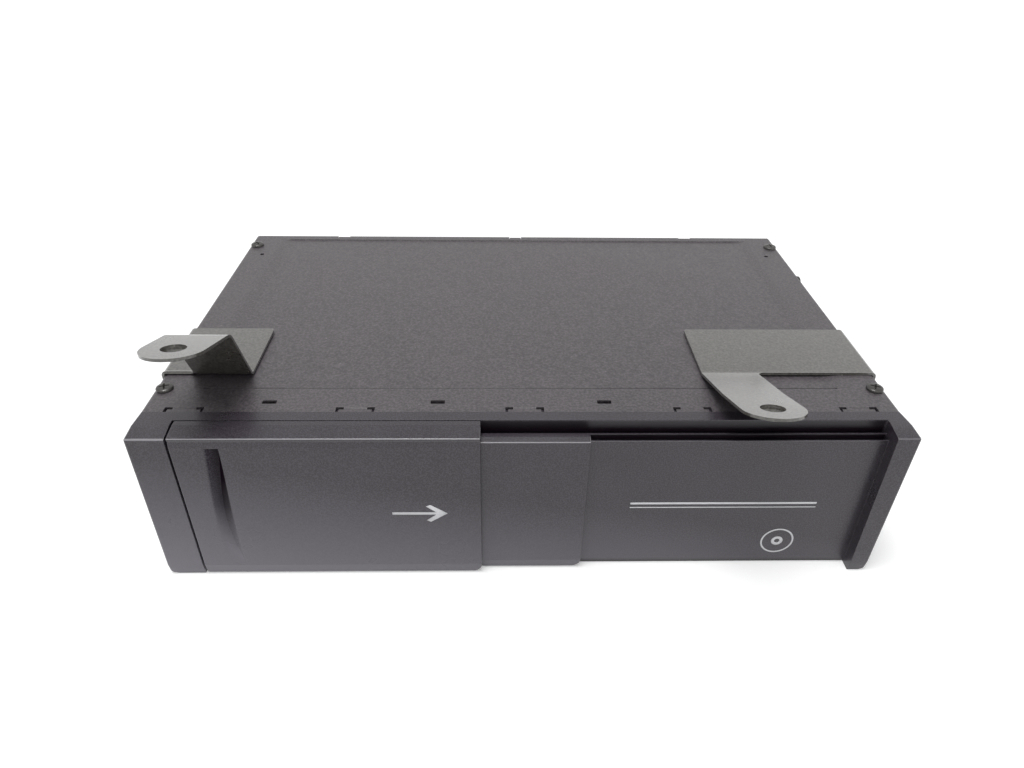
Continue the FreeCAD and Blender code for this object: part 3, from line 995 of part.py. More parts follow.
# ------------------------------------------------------------------ electronics
def make_electronics():
    """The main board with its parts, standoffs and the rear socket."""
    p = Piece("main_board")
    x0, x1, y0 = "mag_left + board_left", "mag_right - board_lead", "skirt_back + board_front"
    y1 = "back - chassis_sheet - board_back"
    wide = f"(({x1}) - ({x0}))"
    p.add("XY", "board_low", "board_top", rect(x0, x1, y0, y1))
    spots = [(x, y) for x in (f"{x0} + board_edge", f"{x1} - board_edge")
             for y in (f"{y0} + board_edge", "mag_back - 3 * board_edge")]
    p.cut("XY", "board_low - 1", "board_top + 1", *[disc(x, y, "board_hole") for x, y in spots])
    p.node()
    stands = []
    for x, y in spots:
        q = Piece("board_standoff")
        q.turn("Z", (x, y, "chassis_sheet"), ("0", "0"), ("2.5", "0"), ("2.5", "board_low - chassis_sheet"),
               ("0", "board_low - chassis_sheet"))
        stands.append(q)
    group("board_standoffs", stands)
    group("board_screws", [pan_screw("board_screw", x, y, "board_top", length="board_thick - 0.05", head="2.4",
                                     tall="1.2") for x, y in spots])
    chips = []
    for i, (across, long) in enumerate(((1, 1), (0.7, 1.3), (0.65, 0.65))):
        q = Piece("board_chip")
        q.add("XY", "0", "chip_tall", rect("0", f"{across} * chip_size", "0", f"{long} * chip_size"))
        chips.append(q.place(f"{x0} + {wide} * {0.14 + 0.24 * i}", f"{y0} + chip_size * {1 + 1.6 * i}", "board_top"))
    for i in range(3):
        q = Piece("board_capacitor")
        q.turn("Z", ("0", "0", "0"), ("0", "0"), ("can_radius", "0"), ("can_radius", "can_tall - 0.4"),
               ("can_radius - 0.4", "can_tall"), ("0", "can_tall"))
        chips.append(q.place(f"{x0} + {wide} * {0.25 + 0.17 * i}", "mag_back - 5 * board_edge", "board_top"))
    group("board_parts", chips)
    s = Piece("rear_socket")
    half, wall = "socket_width / 2", "socket_wall"
    s.add("XZ", "socket_front", "back - 0.3",
          rect(f"socket_x - {half}", f"socket_x + {half}", "socket_low", "socket_low + socket_height"))
    s.cut("XZ", "socket_front + 5", "back + 1",
          rect(f"socket_x - {half} + {wall}", f"socket_x + {half} - {wall}", f"socket_low + {wall}",
               f"socket_low + socket_height - {wall}"))
    holes = [disc(f"socket_x + {i - 2.5} * 4", f"socket_low + socket_height / 2 + {k} * 2", "0.5")
             for i in range(6) for k in (-1, 1)]
    s.cut("XZ", "socket_front + 2", "socket_front + 6", *holes)
    s.node()
    pins = []
    for i in range(6):
        for k in (-1, 1):
            q = Piece("socket_pin")
            q.turn("Y", ("0", "0", "0"), ("0", "2"), ("0.5", "2"), ("0.5", "4.6 + pin_length"),
                   ("0.2", "5 + pin_length"), ("0", "5 + pin_length"))
            pins.append(q.place(f"socket_x + {i - 2.5} * 4", "socket_front",
                                f"socket_low + socket_height / 2 + {k} * 2"))
    group("socket_pins", pins)


# ------------------------------------------------------------------ build, test and export
def main():
    make_cover()
    make_chassis()
    make_bezel()
    make_doors()
    make_screws()
    make_bracket("bracket_right", 1, "bracket_r_inner", "ramp_r_angle", "tab_r_angle", "lean_r")
    make_bracket("bracket_left", -1, "bracket_l_inner", "ramp_l_angle", "tab_l_angle", "lean_l")
    make_magazine()
    for number in range(1, 7):
        make_tray(number)
    make_eject()
    make_bay()
    make_frame()
    make_slider()
    make_lift_train()
    make_deck()
    make_electronics()
    DOC.recompute()
    faults = [o.Name for o in DOC.Objects if "Invalid" in o.State or "Error" in o.State]
    if faults:
        raise RuntimeError(f"features that failed: {faults}")
    os.makedirs("parts", exist_ok=True)
    for name, item in NODES.items():
        if item.Shape.isNull() or not item.Shape.isValid():
            raise RuntimeError(f"{name} is not a valid solid")
        item.Shape.exportStep(f"parts/{name}.step")
    print(f"{len(NODES)} nodes")


main()
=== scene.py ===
"""Dress of a car CD changer: folded steel case, moulded front, sliding doors and studio.

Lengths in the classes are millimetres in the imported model's frame (+X right, -Y front, +Z up) and
turn into metres where a mesh is written. Sheet parts are flat blanks carried over bent paths, the
doors are sections swept along X, and screw heads are height fields.
"""
from __future__ import annotations

import logging
import math
from dataclasses import dataclass, field
from enum import Enum
from typing import Any, Sequence

import bmesh
import bpy
import numpy as np
from mathutils import Matrix, Vector, geometry

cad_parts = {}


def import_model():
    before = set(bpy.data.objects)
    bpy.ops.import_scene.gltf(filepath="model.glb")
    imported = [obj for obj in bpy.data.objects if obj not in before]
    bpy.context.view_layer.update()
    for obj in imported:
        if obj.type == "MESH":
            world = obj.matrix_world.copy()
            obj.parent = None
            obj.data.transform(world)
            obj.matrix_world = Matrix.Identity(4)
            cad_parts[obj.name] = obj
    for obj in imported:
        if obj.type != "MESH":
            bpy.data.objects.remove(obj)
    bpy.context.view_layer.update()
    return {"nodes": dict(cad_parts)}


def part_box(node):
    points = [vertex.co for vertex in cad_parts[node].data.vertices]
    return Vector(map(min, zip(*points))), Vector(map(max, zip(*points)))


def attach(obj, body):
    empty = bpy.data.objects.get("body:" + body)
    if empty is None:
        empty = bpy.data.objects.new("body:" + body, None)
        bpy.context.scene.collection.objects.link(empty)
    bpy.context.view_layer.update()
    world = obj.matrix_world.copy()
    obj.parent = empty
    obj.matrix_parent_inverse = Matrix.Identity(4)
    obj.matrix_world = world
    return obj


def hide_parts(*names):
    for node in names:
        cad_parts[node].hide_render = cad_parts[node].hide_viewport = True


MM = 0.001
Array = np.ndarray
Piece = bpy.types.Object
Socket = bpy.types.NodeSocket
Triple = tuple[float, float, float]
Quad = tuple[float, float, float, float]
Ramp = tuple[Triple, float, float, float, float]
log = logging.getLogger("changer")

RIGHT, BACK, UP = (1.0, 0.0, 0.0), (0.0, 1.0, 0.0), (0.0, 0.0, 1.0)

# Places that several pieces share, in millimetres: the outer faces of the cover's and the brackets'
# flanges, the cover's screws, the brackets' bolts with the spare holes behind them, the side screw,
# the rear notches, the front faces of the outer door and of the fixed panel, and the steps in which
# a door's mesh starts from its ends.
FLANK, BRACKET_FLANK = 131.5, 132.5
SCREW_X, SCREW_Y = 127.8, (-54.5, 70.5)
BOLT_Y, SPARE_Y, BOLT_Z = (-38.1, -20.1), (49.5, 67.5), 50.0
SIDE_SCREW_Y, SIDE_SCREW_Z = 39.0, 61.4
NOTCHES = (87.0, 0.0, -87.0)
DOOR_FACE, PANEL_FACE = -82.5, -77.9
END_STEPS = np.array([0.0, 0.08, 0.25, 0.5])


# ------------------------------------------------------------------ shared shape functions
def ease(t: Array) -> Array:
    """Return the smooth step 3t^2 - 2t^3 of t held between 0 and 1."""
    t = np.clip(t, 0.0, 1.0)
    return t * t * (3.0 - 2.0 * t)


def rounded_loop(corners: Sequence[Triple], steps: int = 4) -> Array:
    """Round the corners of a closed outline.

    Each corner becomes an arc tangent to both its edges, swept by spherical blending of the two
    radius vectors about the arc's centre.

    Args:
        corners: (a, b, radius) of each corner in order.
        steps: Segments of each arc.

    Returns:
        The outline's points, one row each.
    """
    spots = np.array(corners, float)
    at, radius = spots[:, :2], spots[:, 2]
    back, on = np.roll(at, 1, 0) - at, np.roll(at, -1, 0) - at
    back_len, on_len = np.linalg.norm(back, axis=1), np.linalg.norm(on, axis=1)
    back, on = back / back_len[:, None], on / on_len[:, None]
    half = np.arccos(np.clip((back * on).sum(1), -1.0, 1.0)) / 2
    reach = np.minimum(radius / np.tan(half), 0.45 * np.minimum(back_len, on_len))
    tight = reach * np.tan(half)
    mid = back + on
    mid /= np.maximum(np.linalg.norm(mid, axis=1), 1e-9)[:, None]
    centre = at + mid * (tight / np.sin(half))[:, None]
    first, last = at + back * reach[:, None] - centre, at + on * reach[:, None] - centre
    sweep = np.maximum(math.pi - 2 * half, 1e-6)[:, None, None]
    t = np.linspace(0.0, 1.0, steps + 1)[None, :, None]
    arc = (np.sin((1 - t) * sweep) * first[:, None] + np.sin(t * sweep) * last[:, None]) / np.sin(sweep)
    loop = (centre[:, None] + arc).reshape(-1, 2)
    gap = np.linalg.norm(loop - np.roll(loop, 1, 0), axis=1)
    return loop[gap > 1e-4]


def circle(x: float, y: float, radius: float, count: int) -> Array:
    """Return the points of a circle, radius times (cos, sin) about its centre."""
    turn = np.linspace(0.0, 2 * math.pi, count, endpoint=False)
    return np.stack([x + radius * np.cos(turn), y + radius * np.sin(turn)], 1)


def box_loop(x0: float, x1: float, y0: float, y1: float, radius: float) -> Array:
    """Return the outline of a rectangle whose corners are rounded to a radius."""
    return rounded_loop([(x, y, radius) for x, y in ((x0, y0), (x1, y0), (x1, y1), (x0, y1))], 6)


def grid_faces(rows: int, columns: int, wrap: bool = False) -> list[list[int]]:
    """Return the quads of a grid of points, closed across its columns where wrap is set."""
    row = np.arange(rows - 1)[:, None] * columns
    column = np.arange(columns if wrap else columns - 1)[None, :]
    beside = (column + 1) % columns
    quads = np.stack([row + column, row + beside, row + columns + beside, row + columns + column], -1)
    return quads.reshape(-1, 4).tolist()


def inside(points: Array, loop: Array) -> Array:
    """Tell which points lie in a loop, by the even or odd count of edges a ray to +X crosses."""
    a, b = loop, np.roll(loop, -1, 0)
    x, y = points[:, 0:1], points[:, 1:2]
    spans = (a[None, :, 1] > y) != (b[None, :, 1] > y)
    rise = np.where(np.abs(b[:, 1] - a[:, 1]) < 1e-12, 1e-12, b[:, 1] - a[:, 1])
    cross = (b[:, 0] - a[:, 0]) * (y - a[:, 1]) / rise + a[:, 0]
    return (spans & (x < cross)).sum(1) % 2 == 1


def cut_blank(outline: Array, holes: Sequence[Array], rules: Sequence[Array]) -> tuple[Array, Array]:
    """Triangulate a flat sheet.

    A constrained Delaunay mesh of the outline, the holes and the rule lines keeps the triangles
    whose middle lies in the outline and in no hole.

    Args:
        outline: The sheet's edge.
        holes: Closed outlines cut out of it.
        rules: Open lines or loops along which the mesh gets rows of points.

    Returns:
        The sheet's points (n, 2) and triangles (m, 3).
    """
    points: list[Array] = []
    edges: list[tuple[int, int]] = []
    start = 0
    for closed, line in [(True, outline)] + [(True, h) for h in holes] + [(False, r) for r in rules]:
        count = len(line)
        points.append(line)
        edges += [(start + i, start + (i + 1) % count) for i in range(count if closed else count - 1)]
        start += count
    flat = [Vector(p) for p in np.concatenate(points).tolist()]
    verts, _, faces, *_ = geometry.delaunay_2d_cdt(flat, edges, [], 0, 1e-4)
    spots = np.array([tuple(v) for v in verts])
    triangles = np.array([f for f in faces if len(f) == 3])
    middle = spots[triangles].mean(1)
    keep = inside(middle, outline)
    for hole in holes:
        keep &= ~inside(middle, hole)
    triangles = triangles[keep]
    used, index = np.unique(triangles, return_inverse=True)
    return spots[used], index.reshape(-1, 3)


@dataclass
class BentPath:
    """A path of straight runs joined by arcs, read by the length along it.

    Attributes:
        corners: The virtual corners of the path, ends included, as (level, height).
        radii: The bend radius at each inner corner.
        steps: Segments of each bend.
    """

    corners: Sequence[tuple[float, float]]
    radii: Sequence[float]
    steps: int = 8
    length: Array = field(init=False)
    points: Array = field(init=False)
    starts: list[float] = field(init=False)
    offsets: list[float] = field(init=False)

    def __post_init__(self) -> None:
        """Lay the runs and arcs out as points and add up the length along them."""
        spots = np.array(self.corners, float)
        line, marks, self.offsets = [spots[0]], [], [0.0]
        for i, radius in enumerate(self.radii, start=1):
            back = (spots[i - 1] - spots[i]) / np.linalg.norm(spots[i - 1] - spots[i])
            on = (spots[i + 1] - spots[i]) / np.linalg.norm(spots[i + 1] - spots[i])
            half = math.acos(float(np.clip(back @ on, -1, 1))) / 2
            reach = radius / math.tan(half)
            mid = (back + on) / np.linalg.norm(back + on)
            centre = spots[i] + mid * radius / math.sin(half)
            a, b = spots[i] + back * reach - centre, spots[i] + on * reach - centre
            sweep, t = math.pi - 2 * half, np.linspace(0, 1, self.steps + 1)[:, None]
            arc = centre + (np.sin((1 - t) * sweep) * a + np.sin(t * sweep) * b) / math.sin(sweep)
            marks.append(len(line) + self.steps)
            line.extend(arc)
            self.offsets.append(reach)
        line.append(spots[-1])
        self.points = np.array(line)
        self.length = np.concatenate([[0.0], np.cumsum(np.linalg.norm(np.diff(self.points, axis=0), axis=1))])
        self.starts = [0.0] + [float(self.length[m]) for m in marks]

    def reach(self, corner: int, distance: float) -> float:
        """Return the length along the path of a spot that far after a virtual corner."""
        return self.starts[corner] + distance - self.offsets[corner]

    def at(self, length: Array) -> tuple[Array, Array]:
        """Return level and height at each length."""
        level, height = self.points.T
        return np.interp(length, self.length, level), np.interp(length, self.length, height)

    def rows(self) -> Array:
        """Return the lengths at which the path turns, for the rule lines of a blank."""
        return self.length[1:-1]


def mirrored(lengths: Sequence[float], low: float, high: float) -> list[Array]:
    """Return rule lines from low to high at each length, on both sides of the middle."""
    return [np.array([(side * at, low), (side * at, high)]) for at in lengths for side in (-1, 1)]


def level_lines(heights: Sequence[float], left: float, right: float) -> list[Array]:
    """Return rule lines from left to right at each height of a blank."""
    return [np.array([(left, y), (right, y)]) for y in heights]


# ------------------------------------------------------------------ mesh writing
def settle(name: str, mesh: bpy.types.Mesh, sharp: float) -> Piece:
    """Shade a mesh smooth up to an angle in degrees and put it into the scene at the origin."""
    mesh.polygons.foreach_set("use_smooth", np.ones(len(mesh.polygons), bool))
    mesh.set_sharp_from_angle(angle=math.radians(sharp))
    piece = bpy.data.objects.new(name, mesh)
    bpy.context.scene.collection.objects.link(piece)
    return piece


def write_mesh(name: str, points: Array, faces: Sequence[Sequence[int]], closed: bool = True,
               sharp: float = 35.0) -> Piece:
    """Put a computed shape into the scene.

    Args:
        name: The piece's name.
        points: Its points in millimetres.
        faces: Its faces as lists of point numbers.
        closed: Whether the shell is closed, so that its faces can be turned outwards.
        sharp: The angle in degrees past which an edge shades as sharp.

    Returns:
        The new object, at the origin.
    """
    mesh = bpy.data.meshes.new(name)
    mesh.from_pydata((np.asarray(points, float) * MM).tolist(), [], list(faces))
    if closed:
        shell = bmesh.new()
        shell.from_mesh(mesh)
        bmesh.ops.remove_doubles(shell, verts=shell.verts, dist=1e-7)
        bmesh.ops.recalc_face_normals(shell, faces=shell.faces)
        shell.to_mesh(mesh)
        shell.free()
    return settle(name, mesh, sharp)


def add_modifier(piece: Piece, kind: str, **settings: Any) -> None:
    """Add a modifier with the given settings."""
    made = piece.modifiers.new(kind.title(), kind)
    for key, setting in settings.items():
        setattr(made, key, setting)


def soften(piece: Piece, width: float) -> None:
    """Round a piece's sharp edges to a width in millimetres and weight its normals."""
    add_modifier(piece, "BEVEL", width=width * MM, segments=2, limit_method="ANGLE",
                 angle_limit=math.radians(40.0), use_clamp_overlap=True, miter_outer="MITER_ARC")
    add_modifier(piece, "WEIGHTED_NORMAL", keep_sharp=False, weight=80)


def eased_copy(node: str, name: str, width: float) -> Piece:
    """Copy a solid's mesh, merge its triangles into flat faces and round its edges.

    Args:
        node: The solid to stand for.
        name: The new piece's name.
        width: The edge round in millimetres.

    Returns:
        The new piece.
    """
    mesh = bpy.data.meshes.new(name)
    shell = bmesh.new()
    shell.from_mesh(bpy.data.objects[node].data)
    bmesh.ops.remove_doubles(shell, verts=shell.verts, dist=2e-6)
    bmesh.ops.dissolve_limit(shell, angle_limit=math.radians(0.4), verts=shell.verts, edges=shell.edges)
    bmesh.ops.recalc_face_normals(shell, faces=shell.faces)
    shell.to_mesh(mesh)
    shell.free()
    piece = settle(name, mesh, 35.0)
    soften(piece, width)
    return piece


def seat(piece: Piece, body: str, finish: "Finish", *nodes: str) -> None:
    """Give a piece its finish, its body and the solids it stands for."""
    piece.data.materials.clear()
    piece.data.materials.append(finish.material())
    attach(piece, body)
    if nodes:
        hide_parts(*nodes)
    log.info("%s rides on %s, %d faces", piece.name, body, len(piece.data.polygons))


def write_sheet(name: str, points: Array, faces: Array, sheet: float, edge: float) -> Piece:
    """Write a folded blank, thicken it inwards by the sheet and round its edges."""
    piece = write_mesh(name, points, faces.tolist(), closed=False)
    add_modifier(piece, "SOLIDIFY", thickness=sheet * MM, offset=-1.0, use_even_offset=True)
    soften(piece, edge)
    return piece


# ------------------------------------------------------------------ finishes
class Texture(Enum):
    """How the surface of a finish is broken up."""

    PAINT = "powder and dust specks over sheet steel"
    MOULD = "spark-eroded grain of a moulded part"
    BRUSH = "fine lines of rolled or drawn metal"
    PLAIN = "smooth with a faint mottle"


def within(axis: Triple, low: float, high: float, soft: float) -> list[Ramp]:
    """Return two ramps that hold between two places along an axis and fade over a soft length inside."""
    return [(axis, low, low + soft, 0.0, 1.0), (axis, high - soft, high, 1.0, 0.0)]


class Graph:
    """A material's node tree, built step by step."""

    def __init__(self, name: str) -> None:
        """Open an empty material and its shader."""
        self.material = bpy.data.materials.new(name)
        self.material.use_nodes = True
        self.nodes = self.material.node_tree.nodes
        self.links = self.material.node_tree.links
        self.nodes.clear()
        self.output = self.nodes.new("ShaderNodeOutputMaterial")
        self.shader = self.nodes.new("ShaderNodeBsdfPrincipled")
        self.links.new(self.shader.outputs[0], self.output.inputs[0])
        where = self.nodes.new("ShaderNodeTexCoord")
        self.place, self.facing = where.outputs["Object"], where.outputs["Normal"]

    def add(self, kind: str, **settings: Any) -> bpy.types.Node:
        """Add a node with plain settings."""
        node = self.nodes.new("ShaderNode" + kind)
        for key, setting in settings.items():
            setattr(node, key, setting)
        return node

    def noise(self, size: float, detail: float, stretch: Triple = (1.0, 1.0, 1.0)) -> Socket:
        """Return noise whose features have a size in millimetres, stretched along the axes."""
        turn = self.add("Mapping")
        turn.inputs["Scale"].default_value = stretch
        self.links.new(self.place, turn.inputs["Vector"])
        node = self.add("TexNoise")
        node.inputs["Scale"].default_value = 1000.0 / size
        node.inputs["Detail"].default_value = detail
        node.inputs["Roughness"].default_value = 0.55
        self.links.new(turn.outputs[0], node.inputs["Vector"])
        return node.outputs["Fac"]

    def span(self, source: Socket, low: float, high: float, out_low: float, out_high: float) -> Socket:
        """Return a value carried from one range to another and held there."""
        node = self.add("MapRange", clamp=True)
        for i, setting in enumerate((low, high, out_low, out_high), start=1):
            node.inputs[i].default_value = setting
        self.links.new(source, node.inputs[0])
        return node.outputs[0]

    def along(self, axis: Triple, source: Socket | None = None) -> Socket:
        """Return the place's length along an axis in metres, or another vector's, by the dot product."""
        node = self.add("VectorMath", operation="DOT_PRODUCT")
        node.inputs[1].default_value = axis
        self.links.new(source or self.place, node.inputs[0])
        return node.outputs["Value"]

    def up(self) -> Socket:
        """Return how far the surface faces up, the height part of its normal."""
        return self.along(UP, self.facing)

    def times(self, first: Socket, second: Socket) -> Socket:
        """Return the product of two values."""
        node = self.add("Math", operation="MULTIPLY")
        self.links.new(first, node.inputs[0])
        self.links.new(second, node.inputs[1])
        return node.outputs[0]

    def box(self, ramps: Sequence[Ramp]) -> Socket:
        """Return the product of ramps, each (axis, low, high, value at low, value at high)."""
        values = [self.span(self.along(axis), *ramp) for axis, *ramp in ramps]
        amount = values[0]
        for value in values[1:]:
            amount = self.times(amount, value)
        return amount

    def mix(self, amount: Socket, first: Any, second: Any) -> Socket:
        """Return two colours mixed by an amount."""
        node = self.add("Mix", data_type="RGBA")
        self.links.new(amount, node.inputs["Factor"])
        for socket, colour in ((node.inputs[6], first), (node.inputs[7], second)):
            if isinstance(colour, Socket):
                self.links.new(colour, socket)
            else:
                socket.default_value = (*colour, 1.0)
        return node.outputs[2]

    def bump(self, height: Socket, depth: float, under: Socket | None = None) -> Socket:
        """Return a normal bumped by a height, whose full range is a depth in millimetres."""
        node = self.add("Bump")
        node.inputs["Strength"].default_value = 1.0
        node.inputs["Distance"].default_value = depth * MM
        self.links.new(height, node.inputs["Height"])
        if under is not None:
            self.links.new(under, node.inputs["Normal"])
        return node.outputs[0]


@dataclass(frozen=True)
class Finish:
    """One finish of the changer.

    Attributes:
        slot: The record's material slot.
        colour: Base colour, linear.
        roughness: Middle roughness.
        texture: How the surface is broken up.
        metallic: 1 for bare metal.
        grain: Size of the fine texture in millimetres.
        depth: Height of the fine texture in millimetres.
        worn_and_lit: Colour towards which patches drift, and on the front the colour of painted light.
        mottle: How far the colour drifts there, from 0 to 1.
        coat: Weight of a glossy coat over the colour.
    """

    slot: str
    colour: Triple
    roughness: float
    texture: Texture = Texture.PLAIN
    metallic: float = 0.0
    grain: float = 0.5
    depth: float = 0.01
    worn_and_lit: Triple = (0.3, 0.3, 0.3)
    mottle: float = 0.06
    coat: float = 0.0

    def material(self) -> bpy.types.Material:
        """Return the material of this finish, made on first use."""
        known = bpy.data.materials.get("finish_" + self.slot)
        return known or self.build()

    def build(self) -> bpy.types.Material:
        """Lay out the nodes: mottled colour, specks, roughness drift and bump by texture."""
        graph = Graph("finish_" + self.slot)
        shader = graph.shader
        shader.inputs["Metallic"].default_value = self.metallic
        shader.inputs["Coat Weight"].default_value = self.coat
        shader.inputs["Coat Roughness"].default_value = 0.16
        patches = graph.noise(38.0, 4.0)
        tone = graph.mix(graph.span(patches, 0.35, 0.75, 0.0, self.mottle), self.colour, self.worn_and_lit)
        stretch = (1.0, 0.02, 1.0) if self.texture is Texture.BRUSH else (1.0, 1.0, 1.0)
        fine = graph.noise(self.grain, 2.0, stretch)
        low, high = self.roughness - 0.06, self.roughness + 0.07
        if self.texture is Texture.PAINT:
            dots, specks, waves = graph.noise(0.9, 2.0), graph.noise(1.7, 1.0), graph.noise(2.6, 2.0)
            tone = graph.mix(graph.span(dots, 0.35, 0.72, 0.0, 0.30), tone, self.worn_and_lit)
            tone = graph.mix(graph.span(specks, 0.74, 0.80, 0.0, 0.45), tone, self.worn_and_lit)
            normal = graph.bump(fine, self.depth, graph.bump(waves, 0.02))
        else:
            if self.texture is Texture.MOULD:
                tone = graph.mix(graph.span(fine, 0.42, 0.62, 0.0, 0.18), tone, self.worn_and_lit)
            normal = graph.bump(fine, self.depth)
        graph.links.new(self.zones(graph, tone), shader.inputs["Base Color"])
        graph.links.new(graph.span(patches, 0.3, 0.7, low, high), shader.inputs["Roughness"])
        graph.links.new(normal, shader.inputs["Normal"])
        return graph.material

    def zones(self, graph: Graph, tone: Socket) -> Socket:
        """Return the colour as it is, where no part of the piece looks different."""
        return tone


@dataclass(frozen=True)
class FrontFinish(Finish):
    """The moulded front's finish, with painted light low on the left, painted shade in the door
    tracks and the scoop, painted light at the scoop's foot and painted highlights on upper edges.

    Each zone is a product of ramps along axes, which holds inside a box of places in metres.

    Attributes:
        painted_low_light: How far painted light lightens the colour low down, most on the left.
        track_shade: How far painted shade darkens upright faces deep in the door tracks.
        shaded: How far painted shade darkens the deepest part of the scoop.
        lit: How far painted light brightens the foot of the scoop.
        painted_edge_highlight: How far a painted highlight brightens the upper edges of the front.
        deep: Colour of the painted shade in the tracks and the scoop.
        edge_highlight_colour: Colour of the painted highlight on the edges.
    """

    painted_low_light: float = 0.80
    track_shade: float = 0.95
    shaded: float = 0.60
    lit: float = 0.45
    painted_edge_highlight: float = 0.55
    deep: Triple = (0.006, 0.003, 0.006)
    edge_highlight_colour: Triple = (0.42, 0.41, 0.43)

    def zones(self, graph: Graph, tone: Socket) -> Socket:
        """Return the colour with its four zones of painted light and shade laid over it."""
        # Painted light: the colour lightens towards the bottom, most on the left.
        low = graph.span(graph.along((0.18, 0.0, 1.0)), -0.023, 0.034, self.painted_low_light, 0.0)
        tone = self.tracks(graph, graph.mix(low, tone, self.worn_and_lit))
        return self.edges(graph, self.scoop(graph, tone))

    def tracks(self, graph: Graph, tone: Socket) -> Socket:
        """Return the colour with painted shade on upright faces deep in the door tracks."""
        # Painted shade in the deep colour, on upright faces inside the door tracks.
        track = graph.box([*within(RIGHT, -0.1187, 0.1239, 0.0004), (UP, 0.0646, 0.0650, 1.0, 0.0),
                           (BACK, -0.0777, -0.0772, 0.0, self.track_shade)])
        upright = graph.span(graph.up(), 0.35, 0.8, 1.0, 0.0)
        return graph.mix(graph.times(track, upright), tone, self.deep)

    def scoop(self, graph: Graph, tone: Socket) -> Socket:
        """Return the colour with painted shade in the scoop, and dull the gloss there.

        Painted shade darkens the colour with depth, most on the steep wall, and painted light brightens
        it at the foot of the gentle slope. The gloss fades on the wall and in the upper part.

        Args:
            graph: The front's nodes.
            tone: The colour so far.

        Returns:
            The colour with the scoop laid over it.
        """
        place = [*within(RIGHT, -0.1095, -0.1011, 0.0001), *within(UP, 0.0058, 0.0608, 0.0002),
                 (BACK, -0.0808, -0.0807, 1.0, 0.0)]
        sunk = (BACK, -0.08248, -0.0822, 0.0, 1.0)
        lean = graph.along(RIGHT, graph.facing)
        # Painted shade, darker with the scoop's depth and darkest on its steep wall.
        shade = graph.box([(BACK, -0.0824, -0.0813, 0.0, self.shaded), *place])
        wall = graph.times(graph.box([sunk, *place]), graph.span(lean, -0.55, -0.15, 1.0, 0.0))
        tone = graph.mix(wall, graph.mix(shade, tone, self.deep), self.deep)
        # Painted light at the foot of the gentle slope, in the pale drift colour.
        foot = graph.box([sunk, (UP, 0.010, 0.036, self.lit, 0.0), *place])
        tone = graph.mix(graph.times(foot, graph.span(lean, -0.45, -0.15, 0.0, 1.0)), tone, self.worn_and_lit)
        upper = graph.box([sunk, (UP, 0.012, 0.034, 0.0, 1.0), *place])
        gloss = graph.times(graph.span(upper, 0.0, 1.0, 0.5, 0.06), graph.span(wall, 0.0, 1.0, 1.0, 0.15))
        graph.links.new(gloss, graph.shader.inputs["Specular IOR Level"])
        return tone

    def edges(self, graph: Graph, tone: Socket) -> Socket:
        """Return the colour with a painted highlight on the slanted upper edges, weaker on the right."""
        # Painted highlight on upper edges that face up at a slant, weaker on the right cap.
        edge = graph.box([(BACK, -0.0772, -0.0768, self.painted_edge_highlight, 0.0), (UP, 0.0586, 0.0590, 0.0, 1.0),
                          (RIGHT, 0.117, 0.119, 1.0, 0.35)])
        slant = graph.times(graph.span(graph.up(), 0.25, 0.55, 0.0, 1.0),
                            graph.span(graph.up(), 0.82, 0.95, 1.0, 0.0))
        return graph.mix(graph.times(edge, slant), tone, self.edge_highlight_colour)


@dataclass(frozen=True)
class CoverFinish(Finish):
    """The case's paint, with painted shade in the pressed line along the cover's front.

    Attributes:
        crease_shade: Colour of the painted shade in the line.
    """

    crease_shade: Triple = (0.008, 0.007, 0.008)

    def zones(self, graph: Graph, tone: Socket) -> Socket:
        """Return the colour with the painted shade in the pressed line laid over it."""
        # Painted shade in the pressed line, with its gloss dulled there too.
        line = graph.box([*within(BACK, -0.0539, -0.0528, 0.0003), *within(RIGHT, -0.1150, 0.1150, 0.0005),
                          (UP, 0.0628, 0.0632, 0.0, 0.9)])
        graph.links.new(graph.span(line, 0.0, 1.0, 0.5, 0.10), graph.shader.inputs["Specular IOR Level"])
        return graph.mix(line, tone, self.crease_shade)


PAINT = CoverFinish("case_black", (0.042, 0.036, 0.041), 0.42, Texture.PAINT, grain=0.35, depth=0.018,
                    worn_and_lit=(0.22, 0.20, 0.21), mottle=0.10)
# The front's pale drift colour is also the colour of its painted light, low down and at the scoop's foot.
PLASTIC = FrontFinish("front_plastic", (0.019, 0.014, 0.020), 0.31, Texture.MOULD, grain=0.45, depth=0.012,
                      worn_and_lit=(0.18, 0.17, 0.195), mottle=0.05)
STEEL = Finish("bracket_steel", (0.030, 0.027, 0.022), 0.30, Texture.PAINT, grain=0.30, depth=0.008,
               worn_and_lit=(0.22, 0.21, 0.19), mottle=0.03, coat=1.0)
SCREW = Finish("black_screw", (0.050, 0.048, 0.047), 0.30, Texture.PLAIN, metallic=0.6, grain=0.2,
               depth=0.004, worn_and_lit=(0.30, 0.29, 0.27), mottle=0.20)
ZINC = Finish("zinc_steel", (0.56, 0.56, 0.54), 0.34, Texture.BRUSH, metallic=1.0, grain=0.5, depth=0.004,
              worn_and_lit=(0.42, 0.41, 0.38), mottle=0.25)
CASE = Finish("magazine_plastic", (0.040, 0.040, 0.044), 0.42, Texture.MOULD, grain=0.35, depth=0.010,
              worn_and_lit=(0.11, 0.11, 0.12), mottle=0.10)
TRAY = Finish("tray_plastic", (0.20, 0.20, 0.21), 0.45, Texture.MOULD, grain=0.30, depth=0.006,
              worn_and_lit=(0.32, 0.32, 0.33), mottle=0.10)
NYLON = Finish("nylon", (0.74, 0.72, 0.66), 0.40, Texture.PLAIN, grain=0.6, depth=0.006,
               worn_and_lit=(0.60, 0.57, 0.50), mottle=0.20)
CAN = Finish("motor_can", (0.50, 0.50, 0.50), 0.28, Texture.BRUSH, metallic=1.0, grain=0.4, depth=0.003,
             worn_and_lit=(0.36, 0.35, 0.34), mottle=0.25)
